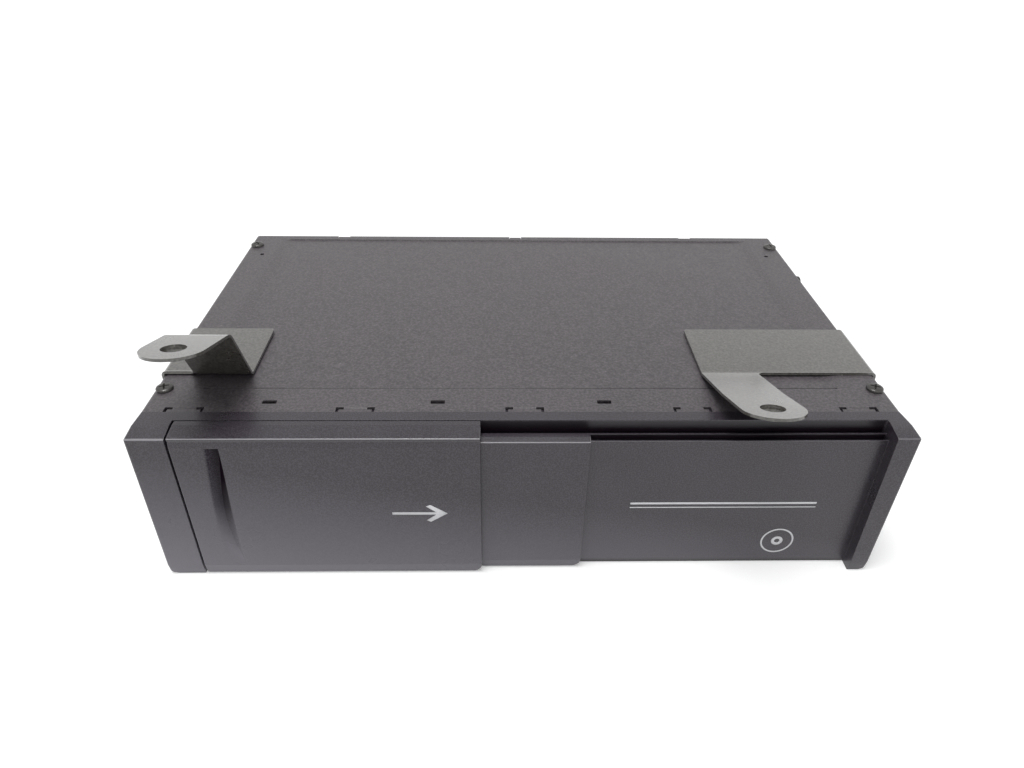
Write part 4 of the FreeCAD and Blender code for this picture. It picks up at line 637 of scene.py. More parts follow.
BRASS = Finish("brass", (0.66, 0.48, 0.20), 0.30, Texture.PLAIN, metallic=1.0, grain=0.3, depth=0.003,
               worn_and_lit=(0.42, 0.29, 0.12), mottle=0.30)
DARK = Finish("turntable_plastic", (0.045, 0.045, 0.048), 0.38, Texture.MOULD, grain=0.4, depth=0.008,
              worn_and_lit=(0.12, 0.12, 0.12), mottle=0.10)
LENS = Finish("lens", (0.16, 0.13, 0.34), 0.06, Texture.PLAIN, grain=1.0, depth=0.0005,
              worn_and_lit=(0.10, 0.16, 0.30), mottle=0.30)
BOARD = Finish("board", (0.045, 0.16, 0.065), 0.35, Texture.PLAIN, grain=0.8, depth=0.006,
               worn_and_lit=(0.08, 0.24, 0.11), mottle=0.60)
RUBBER = Finish("rubber", (0.025, 0.025, 0.025), 0.70, Texture.MOULD, grain=0.5, depth=0.010,
                worn_and_lit=(0.07, 0.07, 0.07), mottle=0.15)
INK = Finish("printed_ink", (0.62, 0.62, 0.64), 0.50, Texture.PLAIN, grain=0.4, depth=0.002,
             worn_and_lit=(0.42, 0.42, 0.44), mottle=0.15)


# ------------------------------------------------------------------ sheet parts
@dataclass
class TopCover:
    """The folded cover: a top with a sunk panel and two side flanges.

    Attributes:
        half: Half its width.
        top: Height of its outer face.
        front, back: Its front and rear edges.
        hem: Height of the flanges' lower edges.
        bend: Outer bend radius.
        sheet: Sheet thickness.
        panel: Sunk panel's outline (half width, front, rear).
        step: Depth of the sunk panel.
        slopes: Length of its soft side steps and of its crisp front and rear steps.
        crease: Depth and half width of the pressed line behind the front step.
        pitch: Spacing of the snap tabs.
        snap: Half width of a tab over its two slits, the slits' width, their reach and their feet's.
        tab_drop: How far the tabs are pressed down.
        notch: Half width and depth of the rear notches.
        vent: A slot's ends across, from the middle between two tabs, and its ends behind the front edge.
        pin: Place and radius of the pin holes near the rear screws.
        drilled: Radii of the holes for cover screws, for bolts and for the side screw.
    """

    half: float = FLANK
    top: float = 65.0
    front: float = -68.5
    back: float = 82.5
    hem: float = 1.8
    bend: float = 1.6
    sheet: float = 1.0
    panel: Triple = (115.0, -54.0, 78.5)
    step: float = 0.6
    slopes: tuple[float, float] = (7.0, 0.4)
    crease: tuple[float, float] = (0.45, 0.5)
    pitch: float = 58.5
    snap: Quad = (6.7, 1.0, 3.0, 2.7)
    tab_drop: float = 0.22
    notch: tuple[float, float] = (3.0, 2.0)
    vent: Quad = (-3.6, 1.4, 5.1, 7.1)
    pin: Triple = (123.0, 60.3, 1.0)
    drilled: Triple = (1.4, 2.05, 1.35)

    def outline(self, edge: float) -> Array:
        """Return the flat outline, with the snap slits in front and three notches behind.

        Args:
            edge: Where the flanges end, from the middle.

        Returns:
            The outline's points.
        """
        half, slit, deep, foot = self.snap
        slot = [(half, 0.0), (half, deep), (half - foot, deep), (half - foot, deep - slit),
                (half - slit, deep - slit), (half - slit, 0.0)]
        line = [(-edge, self.front)]
        for i in range(-2, 3):
            line += [(i * self.pitch - x, self.front + y) for x, y in slot]
            line += [(i * self.pitch + x, self.front + y) for x, y in reversed(slot)]
        line += [(edge, self.front), (edge, self.back)]
        wide, tall = self.notch
        line += [(c + x, self.back - y) for c in NOTCHES
                 for x, y in ((wide, 0.0), (wide, tall), (-wide, tall), (-wide, 0.0))]
        return np.array(line + [(-edge, self.back)])

    def folds(self) -> list[Array]:
        """Return the lines along which the panel's steps and its pressed line bend, as rule lines."""
        half, front, rear = self.panel
        side, lip = self.slopes
        across, lines = half + side, []
        for t in (-0.5, -0.3, -0.1, 0.1, 0.3, 0.5):
            lines += mirrored([half + side * t], front - 1, rear + 1)
            lines += level_lines((front - lip * t, rear + lip * t), -across, across)
        return lines + level_lines([front + y for y in (0.45, 0.7, 0.95, 1.2)], -across, across)

    def tab_folds(self) -> list[Array]:
        """Return the lines along which the snap tabs bend down, as rule lines."""
        fold, tab = self.front + self.snap[2], self.snap[0] - self.snap[3]
        rows = fold - np.array([0.0, 0.2, 0.4, 0.6])
        return [line for c in self.pitch * np.arange(-2, 3) for line in level_lines(rows, c - tab, c + tab)]

    def holes(self, path: BentPath) -> list[Array]:
        """Return the slots in the top, the screw holes and the holes in the flanges."""
        left, right, low, high = self.vent
        holes = [box_loop(c + left, c + right, self.front + low, self.front + high, 0.25)
                 for c in self.pitch * np.array([-1.5, -0.5, 0.5, 1.5])]
        bolt, screw = (path.reach(1, self.top - z) for z in (BOLT_Z, SIDE_SCREW_Z))
        x, y, radius = self.pin
        for side in (-1, 1):
            holes += [circle(side * SCREW_X, at, self.drilled[0], 20) for at in SCREW_Y]
            holes.append(circle(side * x, y, radius, 20))
            holes += [circle(side * bolt, at, self.drilled[1], 24) for at in BOLT_Y + SPARE_Y]
            holes.append(circle(side * screw, SIDE_SCREW_Y, self.drilled[2], 20))
        return holes

    def depth(self, x: Array, y: Array) -> Array:
        """Return how far the top is sunk: a step, soft at the sides and crisp at the ends, and the line."""
        half, front, rear = self.panel
        side, lip = self.slopes
        deep, wide = self.crease
        line = deep * ease(1.0 - np.abs(y - front - wide - lip / 2) / wide)
        flat = self.step * ease(np.minimum(y - front, rear - y) / lip + 0.5)
        return (flat + line) * ease((half - np.abs(x)) / side + 0.5)

    def snap_drop(self, x: Array, y: Array) -> Array:
        """Return how far the snap tabs are pressed: between two slits, from their fold to the edge."""
        near = np.abs(x - self.pitch * np.clip(np.round(x / self.pitch), -2, 2))
        fold = self.front + self.snap[2]
        return self.tab_drop * (near < self.snap[0] - self.snap[1] + 0.01) * ease((fold - y) / 0.6)

    def build(self) -> None:
        """Cut the blank, fold it over the path and thicken it inwards."""
        path = BentPath([(0.0, self.top), (self.half, self.top), (self.half, self.hem - 5)], [self.bend])
        rules = mirrored(path.rows(), self.front - 1, self.back + 1) + self.folds() + self.tab_folds()
        flat, faces = cut_blank(self.outline(path.reach(1, self.top - self.hem)), self.holes(path), rules)
        x, y = flat.T
        level, height = path.at(np.abs(x))
        points = np.stack([np.sign(x) * level, y, height - self.depth(x, y) - self.snap_drop(x, y)], 1)
        seat(write_sheet("cover_sheet", points, faces, self.sheet, 0.18), "root", PAINT, "top_cover")


@dataclass
class Chassis:
    """The tray of sheet steel under the cover: floor, two walls and the rear wall.

    Attributes:
        half: Half its width.
        front, back: The floor's front edge and the rear face.
        wall_front: The side walls' front edge.
        top: Height of the walls.
        sheet: Sheet thickness.
        bend: Outer bend radius.
        socket: Window of the socket in the rear wall (left, right, low, high).
        panel: The floor's raised panel (half width, front, rear, corner radius).
        step: Height of the raised panel.
        slope: Length of its soft step.
        relief: Slit between the side walls and the rear wall, and the rear wall's shortness at each side.
        lug: Half width and height of the lugs on the rear wall.
        foot: Place across and radius of the floor's four holes, and their places along.
    """

    half: float = 130.3
    front: float = -68.3
    back: float = 82.5
    wall_front: float = -62.2
    top: float = 63.8
    sheet: float = 1.2
    bend: float = 1.7
    socket: Quad = (-93.2, -62.8, 5.6, 18.2)
    panel: Quad = (108.0, -54.0, 68.0, 8.0)
    step: float = 0.6
    slope: float = 1.6
    relief: tuple[float, float] = (1.0, 0.4)
    lug: tuple[float, float] = (2.8, 0.9)
    foot: Quad = (118.0, 2.2, -60.0, 74.0)

    def outline(self, edge: float, floor: float, fold: float, tail: float) -> Array:
        """Return the blank's outline, a cross with three lugs at its rear end.

        Args:
            edge: Where the side walls end, from the middle.
            floor: Where they bend up.
            fold: Where the rear wall bends up, from the front.
            tail: Where it ends.

        Returns:
            The outline's points.
        """
        slit, inner = fold - self.relief[0], self.half - self.relief[1]
        right = [(floor, self.front), (floor, self.wall_front), (edge, self.wall_front), (edge, slit),
                 (floor, slit), (floor, fold), (inner, fold), (inner, tail)]
        wide, tall = self.lug
        lugs = [(c + x, tail + y) for c in NOTCHES
                for x, y in ((wide, 0.0), (wide, tall), (-wide, tall), (-wide, 0.0))]
        return np.array([(-floor, self.front), *right, *lugs, *((-x, y) for x, y in reversed(right[1:]))])

    def raised(self, x: Array, y: Array) -> Array:
        """Return how far the floor's panel is raised, by the distance from its rounded outline."""
        half, front, back, corner = self.panel
        across = np.abs(x) - (half - corner)
        along = np.abs(y - (front + back) / 2) - ((back - front) / 2 - corner)
        out = np.hypot(np.maximum(across, 0), np.maximum(along, 0))
        gap = out + np.minimum(np.maximum(across, along), 0) - corner
        return self.step * ease(0.5 - gap / self.slope)

    def build(self) -> None:
        """Cut the cross-shaped blank, fold three sides up and thicken it inwards."""
        side = BentPath([(0.0, 0.0), (self.half, 0.0), (self.half, 90.0)], [self.bend])
        rear = BentPath([(self.front, 0.0), (self.back, 0.0), (self.back, 90.0)], [self.bend])
        shift = self.front
        edge, tail = side.reach(1, self.top), rear.reach(1, self.top) + shift
        floor, fold = side.reach(1, 0.0) - self.bend, rear.reach(1, 0.0) + shift - self.bend
        rules = mirrored(side.rows(), self.front - 1, tail + 2)
        rules += level_lines(rear.rows() + shift, -200.0, 200.0)
        half, front, back, corner = self.panel
        for t in (-0.5, -0.3, -0.12, 0.12, 0.3, 0.5):
            grow = self.slope * t
            loop = box_loop(-half - grow, half + grow, front - grow, back + grow, corner + grow)
            rules.append(np.concatenate([loop, loop[:1]]))
        x0, x1, z0, z1 = self.socket
        holes = [box_loop(x0, x1, rear.reach(1, z0) + shift, rear.reach(1, z1) + shift, 0.6)]
        at, radius, *rows = self.foot
        holes += [circle(s * at, y, radius, 24) for s in (-1, 1) for y in rows]
        flat, faces = cut_blank(self.outline(edge, floor, fold, tail), holes, rules)
        x, z_side = side.at(np.abs(flat[:, 0]))
        y, z_rear = rear.at(flat[:, 1] - shift)
        points = np.stack([np.sign(flat[:, 0]) * x, y, z_side + z_rear + self.raised(*flat.T)], 1)
        piece = write_sheet("chassis_sheet", points, faces[:, ::-1], self.sheet, 0.2)
        seat(piece, "root", PAINT, "base_chassis")


@dataclass
class Bracket:
    """A hanging bracket folded from one blank: plate, side flange and tongue with a hole.

    Attributes:
        side: 1 on the right, -1 on the left.
        inner: Distance of the plate's inner edge from the middle.
        ramp, tab: Angles of the tongue's two runs above the cover.
        lean: Turn of the tongue's end in its own plane.
        low: Height of the flange's lower edge.
        half: Distance of the flange's outer face.
        top: Height of the plate's upper face.
        sheet: Sheet thickness.
        front, rear: The plate's front and rear edges.
        width: Half the tongue's width.
        hole: Radius of its hole.
        runs: Lengths from the tongue's root to its knee and from there to the hole.
        lead: Length of the tongue's path before its root.
        rim: Start and end of the hole's collar below the upper face, and its wall at the end.
    """

    side: int
    inner: float
    ramp: float
    tab: float
    lean: float
    low: float
    half: float = BRACKET_FLANK
    top: float = 66.0
    sheet: float = 1.0
    front: float = -45.2
    rear: float = -13.0
    width: float = 10.4
    hole: float = 4.0
    runs: tuple[float, float] = (26.3, 16.0)
    lead: float = 80.0
    rim: Triple = (0.9, 3.0, 0.8)

    def paths(self) -> tuple[BentPath, BentPath]:
        """Return the flange's path over the side and the tongue's path to the front."""
        down = BentPath([(0.0, 0.0), (self.half, 0.0), (self.half, -90.0)], [2.0])
        up, on = math.radians(self.ramp), math.radians(self.tab)
        knee = self.runs[0] * np.array([math.cos(up), math.sin(up)])
        tip = knee + 60.0 * np.array([math.cos(on), math.sin(on)])
        start = [(-self.lead, 0.0), (0.0, 0.0)]
        if self.ramp == self.tab:
            return down, BentPath([*start, tuple(tip)], [6.0])
        return down, BentPath([*start, tuple(knee), tuple(tip)], [2.4, 5.0])

    def build(self) -> None:
        """Cut the blank, carry it over the flange's and the tongue's paths and thicken it down."""
        down, tongue = self.paths()
        edge = down.reach(1, self.top - self.low)
        turn = math.radians(self.lean)
        bends, past = len(tongue.radii), self.runs[1] * math.cos(turn)
        before = self.lead if bends == 2 else self.lead - self.runs[0]
        along, knee = tongue.reach(bends, past) - before, tongue.reach(bends, 0.0) - before
        hole_x, hole_y = self.inner + self.width + self.runs[1] * math.sin(turn), self.front - along
        arc = np.linspace(math.pi, 2 * math.pi, 25) + turn * 0.9
        end = np.stack([hole_x + self.width * np.cos(arc), hole_y + self.width * np.sin(arc)], 1)
        mouth = self.inner + 2 * self.width
        line = rounded_loop([(self.inner, self.rear, 1.5), (self.inner, self.front - knee, 9.0),
                             *[(x, y, 0.0) for x, y in end], (mouth, self.front - knee, 9.0),
                             (mouth, self.front, 2.4), (edge, self.front, 1.5), (edge, self.rear, 1.5)])
        rules = [np.array([(r, self.front - 90), (r, self.rear + 5)]) for r in down.rows()]
        rules += level_lines(self.front - (tongue.rows() - self.lead), 0.0, 200.0)
        bolt = down.reach(1, self.top - BOLT_Z)
        holes = [circle(hole_x, hole_y, self.hole, 40)] + [circle(bolt, y, 2.1, 24) for y in BOLT_Y]
        flat, faces = cut_blank(line, holes, rules)
        x, fall = down.at(flat[:, 0])
        level, rise = tongue.at(self.front - flat[:, 1] + self.lead)
        points = np.stack([self.side * x, self.front - level, self.top + fall + rise], 1)
        node = "bracket_right" if self.side > 0 else "bracket_left"
        faces = faces if self.side > 0 else faces[:, ::-1]
        piece = write_sheet(node + "_sheet", points, faces, self.sheet, 0.2)
        level, rise = tongue.at(np.array([along + self.lead]))
        spot = np.array([self.side * hole_x, self.front - level[0], self.top + rise[0]])
        self.collar(node + "_collar", spot)
        seat(piece, "root", STEEL, node)

    def collar(self, name: str, spot: Array) -> None:
        """Turn the collar pressed down round the hole: a ring's section swept about the hole's axis.

        Args:
            name: The piece's name.
            spot: Middle of the hole on the tongue's upper face.
        """
        start, end, wall = self.rim
        section = rounded_loop([(self.hole, -start, 0.1), (self.hole, -end, 0.2),
                                (self.hole + wall, -end, 0.4), (self.hole + self.sheet, -start, 0.1)], 3)
        count, tilt = 48, math.radians(self.tab)
        turn = np.linspace(0, 2 * math.pi, count, endpoint=False)[:, None]
        along = np.array([0.0, -math.cos(tilt), math.sin(tilt)])
        axis = np.array([0.0, math.sin(tilt), math.cos(tilt)])
        radius, height = section.T
        points = (spot + (radius * np.cos(turn))[..., None] * np.array(RIGHT)
                  + (radius * np.sin(turn))[..., None] * along
                  + np.broadcast_to(height, (count, len(section)))[..., None] * axis)
        rows = np.concatenate([points, points[:1]]).reshape(-1, 3)
        seat(write_mesh(name, rows, grid_faces(count + 1, len(section), wrap=True)), "root", STEEL)


# ------------------------------------------------------------------ sliding doors
@dataclass
class Grip:
    """The finger scoop of the outer door: a gentle slope meets a steep one along a bowed valley.

    The depth at a height is the valley's. Across, it rises evenly from the left edge to the valley
    and falls evenly to the right edge.

    Attributes:
        heights: Heights at which the three lines and the depths are given.
        left, valley, right: X of the lines there.
        depths: Depths of the valley there.
        low, high: The scoop's lower and upper end.
        marks: Heights of the front face's extra rows, just at and inside the ends.
    """

    heights: tuple[float, ...] = (6.0, 14.0, 23.0, 33.0, 42.0, 51.0, 60.4)
    left: tuple[float, ...] = (-107.2, -108.4, -108.9, -108.8, -108.2, -107.4, -106.7)
    valley: tuple[float, ...] = (-102.2, -104.2, -105.3, -105.3, -104.5, -103.2, -101.9)
    right: tuple[float, ...] = (-101.7, -102.1, -102.2, -102.0, -101.8, -101.6, -101.5)
    depths: tuple[float, ...] = (0.12, 0.60, 1.00, 1.25, 1.42, 1.50, 1.50)
    low: float = 6.2
    high: float = 60.4
    marks: tuple[float, ...] = (6.2, 6.3, 60.3, 60.4)

    def curve(self, values: Sequence[float], height: Array) -> Array:
        """Return one of the bowed lines at each height, a quartic fitted to its places."""
        fit = np.polyfit(np.array(self.heights) / 60.0, values, 4)
        return np.polyval(fit, np.clip(height, self.low, self.high) / 60.0)

    def stations(self, left: float, right: float, height: Array) -> Array:
        """Return the X of every column of the door's grid at each height.

        Columns bunch at the door's ends, and three of them follow the scoop's lines.

        Args:
            left, right: The door's ends.
            height: Height of each row.

        Returns:
            X by row and column.
        """
        bow = [self.curve(v, height)[:, None] for v in (self.left, self.valley, self.right)]
        ones = np.ones((len(height), 1))
        near, far = ones * (left + END_STEPS)[None, :], ones * (right - END_STEPS[::-1])[None, :]
        t, wide = np.linspace(0, 1, 7)[None, 1:], np.linspace(0, 1, 25)[None, 1:-1]
        lines = [near[:, -1:], *bow]
        runs = [a + (b - a) * t for a, b in zip(lines, bow)]
        return np.concatenate([near, *runs, bow[2] + (far[:, :1] - bow[2]) * wide, far], 1)

    def depth(self, x: Array, height: Array) -> Array:
        """Return the scoop's depth at each place of the front face."""
        left, valley, right = (self.curve(v, height)[:, None] for v in (self.left, self.valley, self.right))
        deep = np.maximum(self.curve(self.depths, height), 0.05)[:, None]
        held = ((height > self.low + 1e-6) & (height < self.high - 1e-6))[:, None]
        rise = (x - left) / (valley - left)
        fall = (right - x) / (right - valley)
        return np.where(held, deep * np.clip(np.minimum(rise, fall), 0.0, 1.0), 0.0)


@dataclass
class SlidingDoor:
    """A moulded door of one section along X, with eased ends.

    Attributes:
        name: The piece's name.
        body: The body it rides on, which is also its solid's name.
        left, right: Its ends.
        section: Corners of its closed section as (y, z, radius), the first run being the front face.
        grip: The scoop in its front, if it has one.
        heel: Radius of its lower right corner.
        end: Round of its two ends.
    """

    name: str
    body: str
    left: float
    right: float
    section: Sequence[Triple]
    grip: Grip | None = None
    heel: float = 3.2
    end: float = 0.25

    def loop(self) -> Array:
        """Return the section with its front face divided into rows of about a millimetre."""
        outline = rounded_loop(self.section, 5)
        run = np.linalg.norm(np.roll(outline, -1, 0) - outline, axis=1)
        first = int(np.argmax(np.where(outline[:, 0] < self.section[1][0] + 0.01, run, 0)))
        low, high = outline[first], np.roll(outline, -1, 0)[first]
        rows = np.arange(math.ceil(min(low[1], high[1])), math.floor(max(low[1], high[1])) + 1.0)
        if self.grip:
            rows = np.unique(np.concatenate([rows, self.grip.marks]))
        rows = rows if high[1] > low[1] else rows[::-1]
        inner = np.stack([np.full(len(rows), low[0]), rows], 1)
        return np.concatenate([outline[:first + 1], inner, outline[first + 1:]])

    def finer(self, loop: Array) -> Array:
        """Return a loop whose runs near the heel are cut into pieces under half a millimetre."""
        on = np.roll(loop, -1, 0) - loop
        run = np.linalg.norm(on, axis=1)
        under = np.maximum(loop[:, 1], loop[:, 1] + on[:, 1]) < self.heel + 2.0
        parts = np.where(under & (run > 0.6), np.ceil(run / 0.45), 1).astype(int)
        index = np.repeat(np.arange(len(loop)), parts)
        nth = np.arange(parts.sum()) - np.repeat(np.cumsum(parts) - parts, parts)
        return loop[index] + on[index] * (nth / parts[index])[:, None]

    def build(self) -> None:
        """Sweep the section along X, draw its ends in by their round and press the scoop in."""
        loop = self.finer(self.loop())
        flow = np.roll(loop, -1, 0) - np.roll(loop, 1, 0)
        out = np.stack([flow[:, 1], -flow[:, 0]], 1) / np.linalg.norm(flow, axis=1)[:, None]
        area = (loop[:, 0] * np.roll(loop[:, 1], -1) - np.roll(loop[:, 0], -1) * loop[:, 1]).sum()
        out = out if area > 0 else -out
        if self.grip:
            x = self.grip.stations(self.left, self.right, loop[:, 1]).T
        else:
            reach = END_STEPS[-1]
            wide = np.linspace(self.left + reach, self.right - reach, 14)[1:-1]
            line = np.concatenate([self.left + END_STEPS, wide, self.right - END_STEPS[::-1]])
            x = np.repeat(line[:, None], len(loop), 1)
        short = np.clip(self.heel - (loop[:, 1] - loop[:, 1].min()), 0, self.heel)
        drawn = self.heel - np.sqrt(self.heel ** 2 - short ** 2)
        edge = np.minimum(x - self.left, self.right - x)
        inward = 1 - np.clip(edge / END_STEPS[-1], 0, 1)
        draw = self.end * (1 - np.sqrt(np.clip(1 - inward ** 2, 0, 1)))
        x = x - drawn[None, :] * (x - self.left) / (self.right - self.left)
        y = loop[None, :, 0] - out[None, :, 0] * draw
        z = loop[None, :, 1] - out[None, :, 1] * draw
        if self.grip:
            face = np.abs(loop[:, 0] - self.section[1][0]) < 1e-6
            y = y + self.grip.depth(x.T, loop[:, 1]).T * face[None, :]
        points = np.stack([x, y, z], -1).reshape(-1, 3)
        rows, columns = x.shape
        faces = grid_faces(rows, columns, wrap=True)
        faces += [list(range(columns)), list(range((rows - 1) * columns, rows * columns))]
        piece = write_mesh(self.name, points, faces, sharp=24.0)
        add_modifier(piece, "WEIGHTED_NORMAL", keep_sharp=True, weight=60)
        seat(piece, self.body, PLASTIC, self.body)


# ------------------------------------------------------------------ screw heads
@dataclass
class PanHeads:
    """A set of pan-head cross screws, each a domed height field with a sunk cross.

    The disc grid is the square grid (u, v) carried to x = u sqrt(1 - v^2/2), y = v sqrt(1 - u^2/2).

    Attributes:
        name: The piece's name.
        node: The solids it stands for.
        spots: Middle of each head's seat and the turn of its cross in degrees.
        radius: Radius of a head.
        height: Its height.
        axis: Z for heads on the top, X for heads on the sides.
        count: Points along each side of the grid.
        brim: The rim's share of the height.
        cross: Half width, arm and soft edge of the cross, as shares of the radius.
        sunk: Depth of the cross as a share of the height.
    """

    name: str
    node: str
    spots: Sequence[Quad]
    radius: float
    height: float
    axis: str = "Z"
    count: int = 33
    brim: float = 0.42
    cross: Triple = (0.13, 0.60, 0.10)
    sunk: float = 0.62

    def head(self, turn: float) -> tuple[Array, list[list[int]]]:
        """Shape one head as a dome with a sunk cross, closed by a rim and a foot.

        Args:
            turn: Turn of the cross in degrees.

        Returns:
            Its points, z up from its seat, and its faces.
        """
        n, (wide, arm, soft) = self.count, self.cross
        u, v = np.meshgrid(np.linspace(-1, 1, n), np.linspace(-1, 1, n))
        x, y = u * np.sqrt(1 - v * v / 2), v * np.sqrt(1 - u * u / 2)
        far = np.clip(np.hypot(x, y), 0, 1)
        dome = self.height * (self.brim + (1 - self.brim) * np.sqrt(np.clip(1 - far ** 2.6, 0, 1)))
        cross = np.minimum(np.maximum(np.abs(x) - wide, np.abs(y) - arm),
                           np.maximum(np.abs(y) - wide, np.abs(x) - arm))
        dome = dome - self.height * self.sunk * ease(-cross / soft) * ease((0.72 - far) / 0.2)
        top = np.stack([x * self.radius, y * self.radius, dome], -1).reshape(-1, 3)
        rim = [*range(n), *range(2 * n - 1, n * n, n), *range(n * n - 2, n * (n - 1) - 1, -1),
               *range(n * (n - 2), 0, -n)]
        count, foot = len(rim), top[rim] * np.array([1.0, 1.0, 0.0])
        faces = grid_faces(n, n)
        faces += [[rim[i], rim[(i + 1) % count], n * n + (i + 1) % count, n * n + i] for i in range(count)]
        faces.append([n * n + i for i in range(count)])
        c, s = math.cos(math.radians(turn)), math.sin(math.radians(turn))
        return np.concatenate([top, foot]) @ np.array([[c, -s, 0], [s, c, 0], [0, 0, 1]]).T, faces

    def build(self) -> None:
        """Place a head on each spot (x, y, z, turn) along the axis, outwards."""
        points, faces, start = [], [], 0
        for x, y, z, turn in self.spots:
            spots, quads = self.head(turn)
            if self.axis == "X":
                spots = np.stack([spots[:, 2] * math.copysign(1, x), spots[:, 0], spots[:, 1]], 1)
            points.append(spots + np.array([x, y, z]))
            faces += [[start + i for i in quad] for quad in quads]
            start += len(spots)
        seat(write_mesh(self.name, np.concatenate(points), faces, sharp=40.0), "root", SCREW, self.node)


# ------------------------------------------------------------------ printed marks
@dataclass
class PrintedMarks:
    """Plain marks in ink on the front: an arrow on the door, a rule and a disc sign on the panel.

    Attributes:
        film: Thickness of the ink.
    """

    film: float = 0.03

    def lay(self, name: str, loops: Sequence[tuple[Array, list[Array]]], face: float, body: str) -> None:
        """Lay flat outlines on a front face as a thin film of ink.

        Args:
            name: The piece's name.
            loops: Each outline (x, z) with its holes.
            face: Y of the front face.
            body: The body the film rides on.
        """
        points, faces, start = [], [], 0
        for outline, holes in loops:
            flat, triangles = cut_blank(outline, holes, [])
            points.append(np.stack([flat[:, 0], np.full(len(flat), face - self.film), flat[:, 1]], 1))
            faces.append(triangles + start)
            start += len(flat)
        piece = write_mesh(name, np.concatenate(points), np.concatenate(faces).tolist(), closed=False)
        add_modifier(piece, "SOLIDIFY", thickness=self.film * MM, offset=-1.0)
        seat(piece, body, INK)

    def build(self) -> None:
        """Print the arrow, the rule and the disc sign."""
        arrow = np.array([(-46.5, 30.4), (-31.0, 30.4), (-34.6, 27.6), (-33.0, 26.9), (-27.0, 30.95),
                          (-33.0, 35.0), (-34.6, 34.3), (-31.0, 31.5), (-46.5, 31.5)])
        rule = [(box_loop(38.5, 106.5, 30.6, 31.5, 0.4), []), (box_loop(38.5, 106.5, 28.9, 29.3, 0.19), [])]
        sign = [(circle(96.0, 11.8, 6.2, 72), [circle(96.0, 11.8, 5.55, 72)]),
                (circle(96.0, 11.8, 2.2, 48), [circle(96.0, 11.8, 1.0, 40)])]
        self.lay("door_arrow", [(arrow, [])], DOOR_FACE, "outer_door")
        self.lay("panel_rule", rule, PANEL_FACE, "root")
        self.lay("panel_disc_sign", sign, PANEL_FACE, "root")


# ------------------------------------------------------------------ the rest of the solids
@dataclass
class Works:
    """The moulded front and the inside parts, whose solids carry the shape.

    Attributes:
        eased: By solid, the name, body, finish and edge round of the piece that stands for it.
        finishes: By finish, the solids that show as they are.
        flare: How far the moulding's left and right end spread at the front.
        start: Where the spread starts, and the length over which it grows.
        outer: Distance from the middle past which it acts.
    """

    eased: dict[str, tuple[str, str, Finish, float]] = field(default_factory=lambda: {
        "front_bezel": ("front_moulding", "root", PLASTIC, 0.3),
        "eject_button": ("eject_key", "eject_button", DARK, 0.25),
        "magazine_case": ("magazine_shell", "magazine", CASE, 0.25),
        "rear_socket": ("socket_housing", "root", DARK, 0.2),
        **{f"tray_{i}": (f"tray_plate_{i}", f"tray_{i}", TRAY, 0.2) for i in range(1, 7)},
    })
    finishes: dict[Finish, str] = field(default_factory=lambda: {
        ZINC: "bay_frame bay_posts mechanism_frame lift_slider deck_plate lift_pins guide_rods lead_screw "
              "feed_rod gear_plate catch_pivot board_standoffs board_screws pulley_posts",
        NYLON: "magazine_catch lift_gear_low lift_gear_high feed_pulley_drive feed_pulley_idler tray_hook "
               "feed_rod_stands rod_clips screw_bearing",
        CAN: "lift_motor spindle_motor sled_motor feed_motor",
        BRASS: "lift_motor_pinion sled_motor_pinion socket_pins",
        DARK: "turntable pickup_sled board_parts",
        LENS: "pickup_lens",
        BOARD: "main_board",
        RUBBER: "rubber_mounts feed_belt",
    })
    flare: tuple[float, float] = (0.7, 1.5)
    start: tuple[float, float] = (-68.5, 13.0)
    outer: float = 129.5

    def spread(self, piece: Piece) -> None:
        """Spread the moulding's ends towards the front: left evenly, right by the height."""
        places = np.empty(len(piece.data.vertices) * 3)
        piece.data.vertices.foreach_get("co", places)
        places = places.reshape(-1, 3) / MM
        x, y, z = places.T
        reach = np.where(x < 0, self.flare[0], self.flare[1] * np.clip(z / 65.0, 0, 1))
        ahead = np.clip((self.start[0] - y) / self.start[1], 0, 1)
        places[:, 0] = x + np.sign(x) * reach * (np.abs(x) > self.outer) * ahead
        piece.data.vertices.foreach_set("co", (places * MM).ravel())

    def build(self, nodes: dict[str, Piece]) -> None:
        """Ease the parts that show and give every other solid its material."""
        for node, (name, body, finish, width) in self.eased.items():
            piece = eased_copy(node, name, width)
            if node == "front_bezel":
                self.spread(piece)
            seat(piece, body, finish, node)
        for finish, names in self.finishes.items():
            for name in names.split():
                materials = nodes[name].data.materials
                materials.clear()
                materials.append(finish.material())


# ------------------------------------------------------------------ studio
def seen(tree: bpy.types.NodeTree, rays: bpy.types.Node) -> Socket:
    """Return 1 for rays of the camera, of gloss and of glass, the greatest of the three flags."""
    flag = rays.outputs["Is Camera Ray"]
    for name in ("Is Glossy Ray", "Is Transmission Ray"):
        most = tree.nodes.new("ShaderNodeMath")
        most.operation = "MAXIMUM"
        tree.links.new(flag, most.inputs[0])
        tree.links.new(rays.outputs[name], most.inputs[1])
        flag = most.outputs[0]
    return flag


